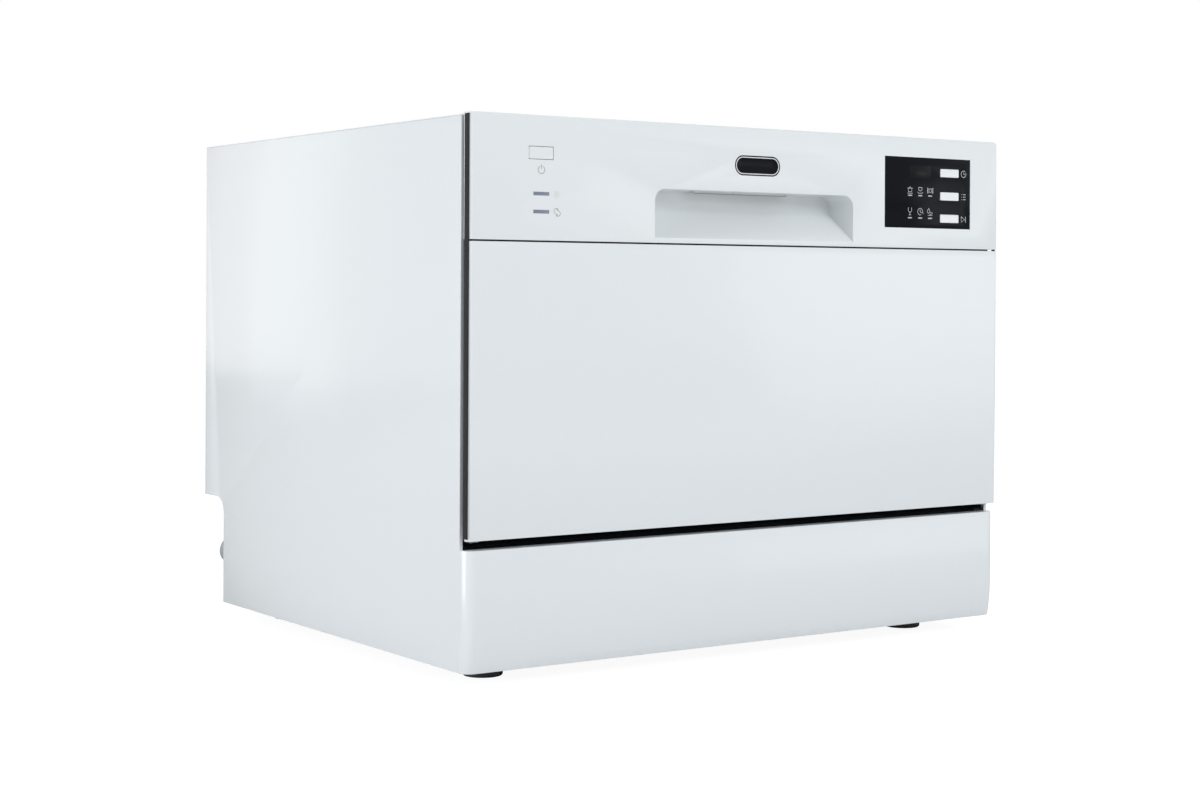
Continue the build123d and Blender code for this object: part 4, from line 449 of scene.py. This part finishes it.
def cross_head():
    """One screw standing on its shank: a pan head with a cross recess."""
    form = bmesh.new()
    bmesh.ops.create_cone(
        form, cap_ends=True, segments=SCREW_SIDES, radius1=SCREW_HEAD,
        radius2=SCREW_HEAD * HEAD_TAPER, depth=SCREW_RISE,
        matrix=Matrix.Translation((0, 0, SCREW_RISE / 2)),
    )
    rim = [edge for edge in form.edges if min(vert.co.z for vert in edge.verts) > SCREW_RISE * 0.9]
    bmesh.ops.bevel(
        form, geom=rim, offset=HEAD_ROUND, segments=3, profile=0.5, affect="EDGES", material=-1
    )
    for cut in (-RECESS_REACH, -RECESS_HALF, RECESS_HALF, RECESS_REACH):
        for normal in (Vector((1, 0, 0)), Vector((0, 1, 0))):
            everything = form.verts[:] + form.edges[:] + form.faces[:]
            bmesh.ops.bisect_plane(form, geom=everything, plane_co=normal * cut, plane_no=normal)
    cross = []
    for face in form.faces:
        middle = face.calc_center_median()
        spread = sorted((abs(middle.x), abs(middle.y)))
        if middle.z > SCREW_RISE * 0.999 and spread[0] < RECESS_HALF and spread[1] < RECESS_REACH:
            cross.append(face)
    sunk = bmesh.ops.extrude_face_region(form, geom=cross)["geom"]
    bmesh.ops.delete(form, geom=cross, context="FACES_ONLY")
    sunk = [item for item in sunk if isinstance(item, bmesh.types.BMVert)]
    bmesh.ops.translate(form, verts=sunk, vec=(0, 0, -RECESS_DEPTH))
    bmesh.ops.create_cone(
        form, cap_ends=True, segments=SCREW_SIDES, radius1=SCREW_SHANK, radius2=SCREW_SHANK,
        depth=SCREW_LENGTH, matrix=Matrix.Translation((0, 0, (SCREW_RISE - SCREW_LENGTH) / 2)),
    )
    mesh = bpy.data.meshes.new("one_screw")
    form.to_mesh(mesh)
    form.free()
    return mesh


panel_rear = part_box("left_side_panel")[1].y
cover_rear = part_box("case_screws")[1].y - SCREW_RISE
cover_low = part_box("case_screws")[1].z - SCREW_HEAD
screw_places = [(x, panel_rear, z) for x in PANEL_SCREWS_X for z in PANEL_SCREWS_Z]
screw_places += [(x, cover_rear, cover_low) for x in COVER_SCREWS_X]
screw_form = bmesh.new()
for number, place in enumerate(screw_places):
    screw = cross_head()
    turned = Matrix.Rotation(SCREW_TURN * number, 4, "Z")
    facing_rear = Matrix.Rotation(math.radians(-90), 4, "X") @ turned
    screw.transform(Matrix.Translation(place) @ facing_rear)
    screw_form.from_mesh(screw)
    bpy.data.meshes.remove(screw)
finished_piece(
    "cross_head_screws", screw_form, "cabinet", zinc_plate, replaces=["case_screws"]
)

# ---------------------------------------------------------------- printed signs
# Screen-printed signs, a hair proud of the surface: grey on the white panel beside the power
# button and the two lamps, pale on the black display beside the keys and above the lamps.
FRONT = cad_box[0].y
MM = 0.001
ARC_STEPS = 14
INK_FLATNESS = 0.12
THIN_LINE = 0.45
KEY_LINE = 0.7
PROGRAM_LINE = 0.6
LAMP_LINE = 1.25
KEY_SIGNS_X = 232.7
PROGRAM_COLUMNS_X = (169.0, 181.0, 192.6)


def arc(x, z, radius, start, end):
    """Points along an arc in the front view, in millimetres and degrees."""
    steps = range(ARC_STEPS + 1)
    turns = [math.radians(start + (end - start) * step / ARC_STEPS) for step in steps]
    return [(x + radius * math.cos(turn), z + radius * math.sin(turn)) for turn in turns]


def sign(name, strokes, x, z, width, material, face=FRONT, body="door"):
    """Lines of ink of one width on a front face, as one mesh centred on x and z."""
    ink = bpy.data.curves.new(name, "CURVE")
    ink.dimensions = "3D"
    ink.bevel_depth = width / 2 * MM
    ink.bevel_resolution = 1
    ink.use_fill_caps = True
    for points in strokes:
        line = ink.splines.new("POLY")
        line.points.add(len(points) - 1)
        for point, (right, up) in zip(line.points, points):
            point.co = ((x + right) * MM, 0.0, (z + up) * MM, 1.0)
    drawn = bpy.data.objects.new(name + "_line", ink)
    mesh = bpy.data.meshes.new_from_object(drawn)
    bpy.data.objects.remove(drawn)
    mesh.transform(Matrix.Translation((0.0, face, 0.0)) @ Matrix.Diagonal((1, INK_FLATNESS, 1, 1)))
    mesh.materials.clear()
    mesh.materials.append(material)
    piece = bpy.data.objects.new(name, mesh)
    scene.collection.objects.link(piece)
    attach(piece, body)


def rays(count, inner, outer):
    """Short lines pointing away from a middle."""
    turns = [2 * math.pi * step / count for step in range(count)]
    return [
        [(reach * math.cos(turn), reach * math.sin(turn)) for reach in (inner, outer)]
        for turn in turns
    ]


grey_ink = moulded("grey_ink", (0.24, 0.26, 0.27), 0.5, mottle=0.02)
faint_ink = moulded("faint_ink", (0.52, 0.54, 0.55), 0.5, mottle=0.02)
pale_ink = moulded("pale_ink", (0.50, 0.52, 0.54), 0.5, mottle=0.02)
power = [arc(0, -0.4, 3.0, 118, 422), [(0, 0.4), (0, 3.7)]]
sign("power_sign", power, -211.3, 396.2, 0.55, grey_ink)
star = [arc(0, 0, 1.35, 0, 360), *rays(8, 2.2, 3.2)]
sign("rinse_sign", star, -197.3, 377.1, THIN_LINE, faint_ink)
salt_arrows = [
    arc(-0.9, 0.9, 2.0, 45, 235), [(-2.0, -0.8), (0.4, -1.9)],
    arc(0.9, -0.9, 2.0, 225, 415), [(2.0, 0.8), (-0.3, 1.9)],
    [(-0.2, 3.2), (0.9, 2.3), (-0.5, 1.7)], [(0.2, -3.2), (-0.9, -2.3), (0.5, -1.7)],
]
sign("salt_sign", salt_arrows, -196.8, 363.5, 0.5, grey_ink)

clock = [arc(0, 0, 2.9, 50, 390), [(0.2, 1.7), (0.2, -0.1), (1.6, -0.1)]]
listing = [[(-2.6, up), (-1.9, up)] for up in (2.2, 0.0, -2.2)]
listing += [[(-0.6, up), (2.6, up)] for up in (2.2, 0.0, -2.2)]
skip = [[(-2.6, 2.5), (-2.6, -2.5), (1.6, 0.0), (-2.6, 2.5)], [(2.6, 2.6), (2.6, -2.6)]]
key_signs = (("timer", clock, 407.8), ("program", listing, 387.6), ("start", skip, 367.7))
for name, strokes, z in key_signs:
    sign(name + "_sign", strokes, KEY_SIGNS_X, z, KEY_LINE, pale_ink)

pot = [
    [(-2.0, 1.6), (-2.0, -1.6), (2.0, -1.6), (2.0, 1.6)], [(-3.0, 1.5), (3.0, 1.5)],
    [(-0.9, 2.4), (0.9, 2.4)], [(-3.0, -2.9), (3.0, -2.9)],
]
cup = [
    [(-2.2, 2.4), (2.2, 2.4)], arc(0, 1.4, 2.0, 180, 360), [(-2.0, 2.4), (-2.0, 1.4)],
    [(2.0, 1.4), (2.0, 2.4)], [(-3.1, -1.5), (-2.2, -2.6), (2.2, -2.6), (3.1, -1.5)],
]
plate = [
    arc(0.2, 0, 1.6, 0, 360), arc(0.2, 0, 2.9, -50, 50), arc(0.2, 0, 2.9, 130, 230),
    [(-3.1, -2.5), (-3.1, 2.5)], [(3.3, -2.5), (3.3, 2.5)],
]
glass = [
    arc(0, 1.2, 2.0, 160, 380), [(-1.8, 3.3), (-1.9, 1.9)], [(1.8, 3.3), (1.9, 1.9)],
    [(0, -0.8), (0, -2.9)], [(-1.3, -3.0), (1.3, -3.0)],
]
quick = [
    arc(0, 0, 2.9, -10, 290), [(0, 1.6), (0, 0), (1.3, -0.8)],
    [(1.6, -1.3), (2.9, -0.6), (3.7, -2.0)],
]
soak = [
    [(-1.6, 3.2), *arc(-1.6, 0.4, 1.5, 150, 390), (-1.6, 3.2)], [(-2.4, -3.0), (2.6, -3.0)],
    [(0.6, -0.6), (2.6, -0.6), (2.6, -2.0)], [(-0.4, -2.0), (1.6, -2.0)],
]
program_rows = ((392.1, 387.4, (pot, cup, plate)), (373.5, 367.9, (glass, quick, soak)))
for row, (z, lamp_z, signs) in enumerate(program_rows, 1):
    for column, (x, strokes) in enumerate(zip(PROGRAM_COLUMNS_X, signs), 1):
        sign(f"program_{row}_{column}", strokes, x, z, PROGRAM_LINE, pale_ink)
        lamp = [[(-2.3, lamp_z - z), (2.3, lamp_z - z)]]
        sign(f"program_lamp_{row}_{column}", lamp, x, z, LAMP_LINE, pale_ink)

# ---------------------------------------------------------------- painted shade strips of the door
# Matt black strips shaped like foam tape: one in the seam between fascia and skin, and one down
# each
# side of the door. They are painted shade: they make the seam and the gap beside the side panels
# dark.
SEAM = (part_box("door_outer_panel")[1].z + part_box("fascia")[0].z) / 2
SEAM_HALF = 0.00068
SEAM_SINK = 0.00012
SEAM_DEPTH = 0.003
SEAM_START = 0.002
SEAM_STOP = 0.012
STRIP_HALF = 0.0003
STRIP_END = 0.0016
STRIP_DEPTH = 0.0075
BLOCK_ROUND = 0.3
door_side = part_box("fascia")[1].x
door_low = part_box("door_outer_panel")[0].z
door_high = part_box("fascia")[1].z


def rounded_block(form, low, high):
    """One block between two corners, its edges slightly rounded."""
    middle = (Vector(low) + Vector(high)) / 2
    size = Vector(high) - Vector(low)
    place = Matrix.Translation(middle) @ Matrix.Diagonal((*size, 1.0))
    made = bmesh.ops.create_cube(form, size=1.0, matrix=place)["verts"]
    edges = {edge for vert in made for edge in vert.link_edges}
    bmesh.ops.bevel(
        form, geom=list(edges), offset=min(size) * BLOCK_ROUND, segments=2, profile=0.5,
        affect="EDGES", material=-1,
    )


shade_strips = bmesh.new()
rounded_block(shade_strips, (SEAM_START - door_side, FRONT + SEAM_SINK, SEAM - SEAM_HALF),
     (door_side - SEAM_STOP, FRONT + SEAM_DEPTH, SEAM + SEAM_HALF))
for side, ahead in ((-1, 0.0011), (1, 0.0035)):
    edge_x = sorted((side * (door_side - STRIP_HALF), side * (door_side + STRIP_HALF)))
    rounded_block(shade_strips, (edge_x[0], FRONT + ahead, door_low + STRIP_END),
         (edge_x[1], FRONT + STRIP_DEPTH, door_high - STRIP_END))
# Matt black for the strips in the seam and down the door's sides: painted shade for those gaps.
painted_shade_black = moulded("painted_shade_black", (0.012, 0.012, 0.013), 0.9, grain=2500.0, depth=0.00004)
finished_piece("door_painted_shade_strips", shade_strips, "door", painted_shade_black)

# ---------------------------------------------------------------- badge, paddle and digit window
# A pale border runs inside the rim of the bare badge. A fine dark line of painted shade runs along
# the lower edge of the latch paddle and up its ends, for the shadow in its gap. A smoked window
# for the digits lies on the display.
BORDER_INSET = 1.5
BORDER_LINE = 0.9
PADDLE_FOOT = 0.003
SHADE_LINE_RISE = 0.25
DIGITS_X = (0.1685, 0.1937)
DIGITS_Z = (0.4025, 0.4135)
WINDOW_PROUD = 0.00008
WINDOW_SUNK = 0.0001

badge_low, badge_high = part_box("badge_plate")
badge_x = (badge_high.x - badge_low.x) / 2 / MM
badge_z = (badge_high.z - badge_low.z) / 2 / MM
border = badge_z - BORDER_INSET
pill = [
    *arc(badge_x - badge_z, 0, border, -90, 90), *arc(badge_z - badge_x, 0, border, 90, 270),
    (badge_x - badge_z, -border),
]
white_ink = moulded("white_ink", (0.78, 0.79, 0.80), 0.4, mottle=0.0)
badge_middle = (badge_low.z + badge_high.z) / 2 / MM
sign(
    "badge_border", [pill], 0.0, badge_middle, BORDER_LINE, white_ink, badge_low.y
)

paddle_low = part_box("latch_paddle")[0]
paddle_top = paddle_low.z + PADDLE_FOOT
paddle_verts = parts["latch_paddle"].data.vertices
paddle_half = max(vert.co.x for vert in paddle_verts if vert.co.z < paddle_top) / MM
paddle_shade_line = [
    (-paddle_half + 0.1, 1.7), (-paddle_half + 0.4, 0.4), (-paddle_half + 1.2, 0.0),
    (paddle_half - 1.2, 0.0), (paddle_half - 0.4, 0.4), (paddle_half - 0.1, 1.7),
]
# Dark grey ink along the paddle's lower edge and ends: painted shade for the shadow in its gap.
paddle_shade_ink = moulded("paddle_shade_ink", (0.10, 0.105, 0.11), 0.5, mottle=0.0)
sign(
    "paddle_painted_shade", [paddle_shade_line], 0.0, paddle_low.z / MM + SHADE_LINE_RISE, THIN_LINE, paddle_shade_ink,
    paddle_low.y, "paddle",
)

display_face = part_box("display_window")[0].y
digits = bmesh.new()
rounded_block(digits, (DIGITS_X[0], display_face - WINDOW_PROUD, DIGITS_Z[0]),
     (DIGITS_X[1], display_face + WINDOW_SUNK, DIGITS_Z[1]))
smoked = moulded(
    "smoked", (0.0085, 0.0085, 0.0105), 0.2, grain=900.0, depth=0.000001, mottle=0.0,
    **{"Specular IOR Level": 0.1},
)
finished_piece("digit_window", digits, "door", smoked)
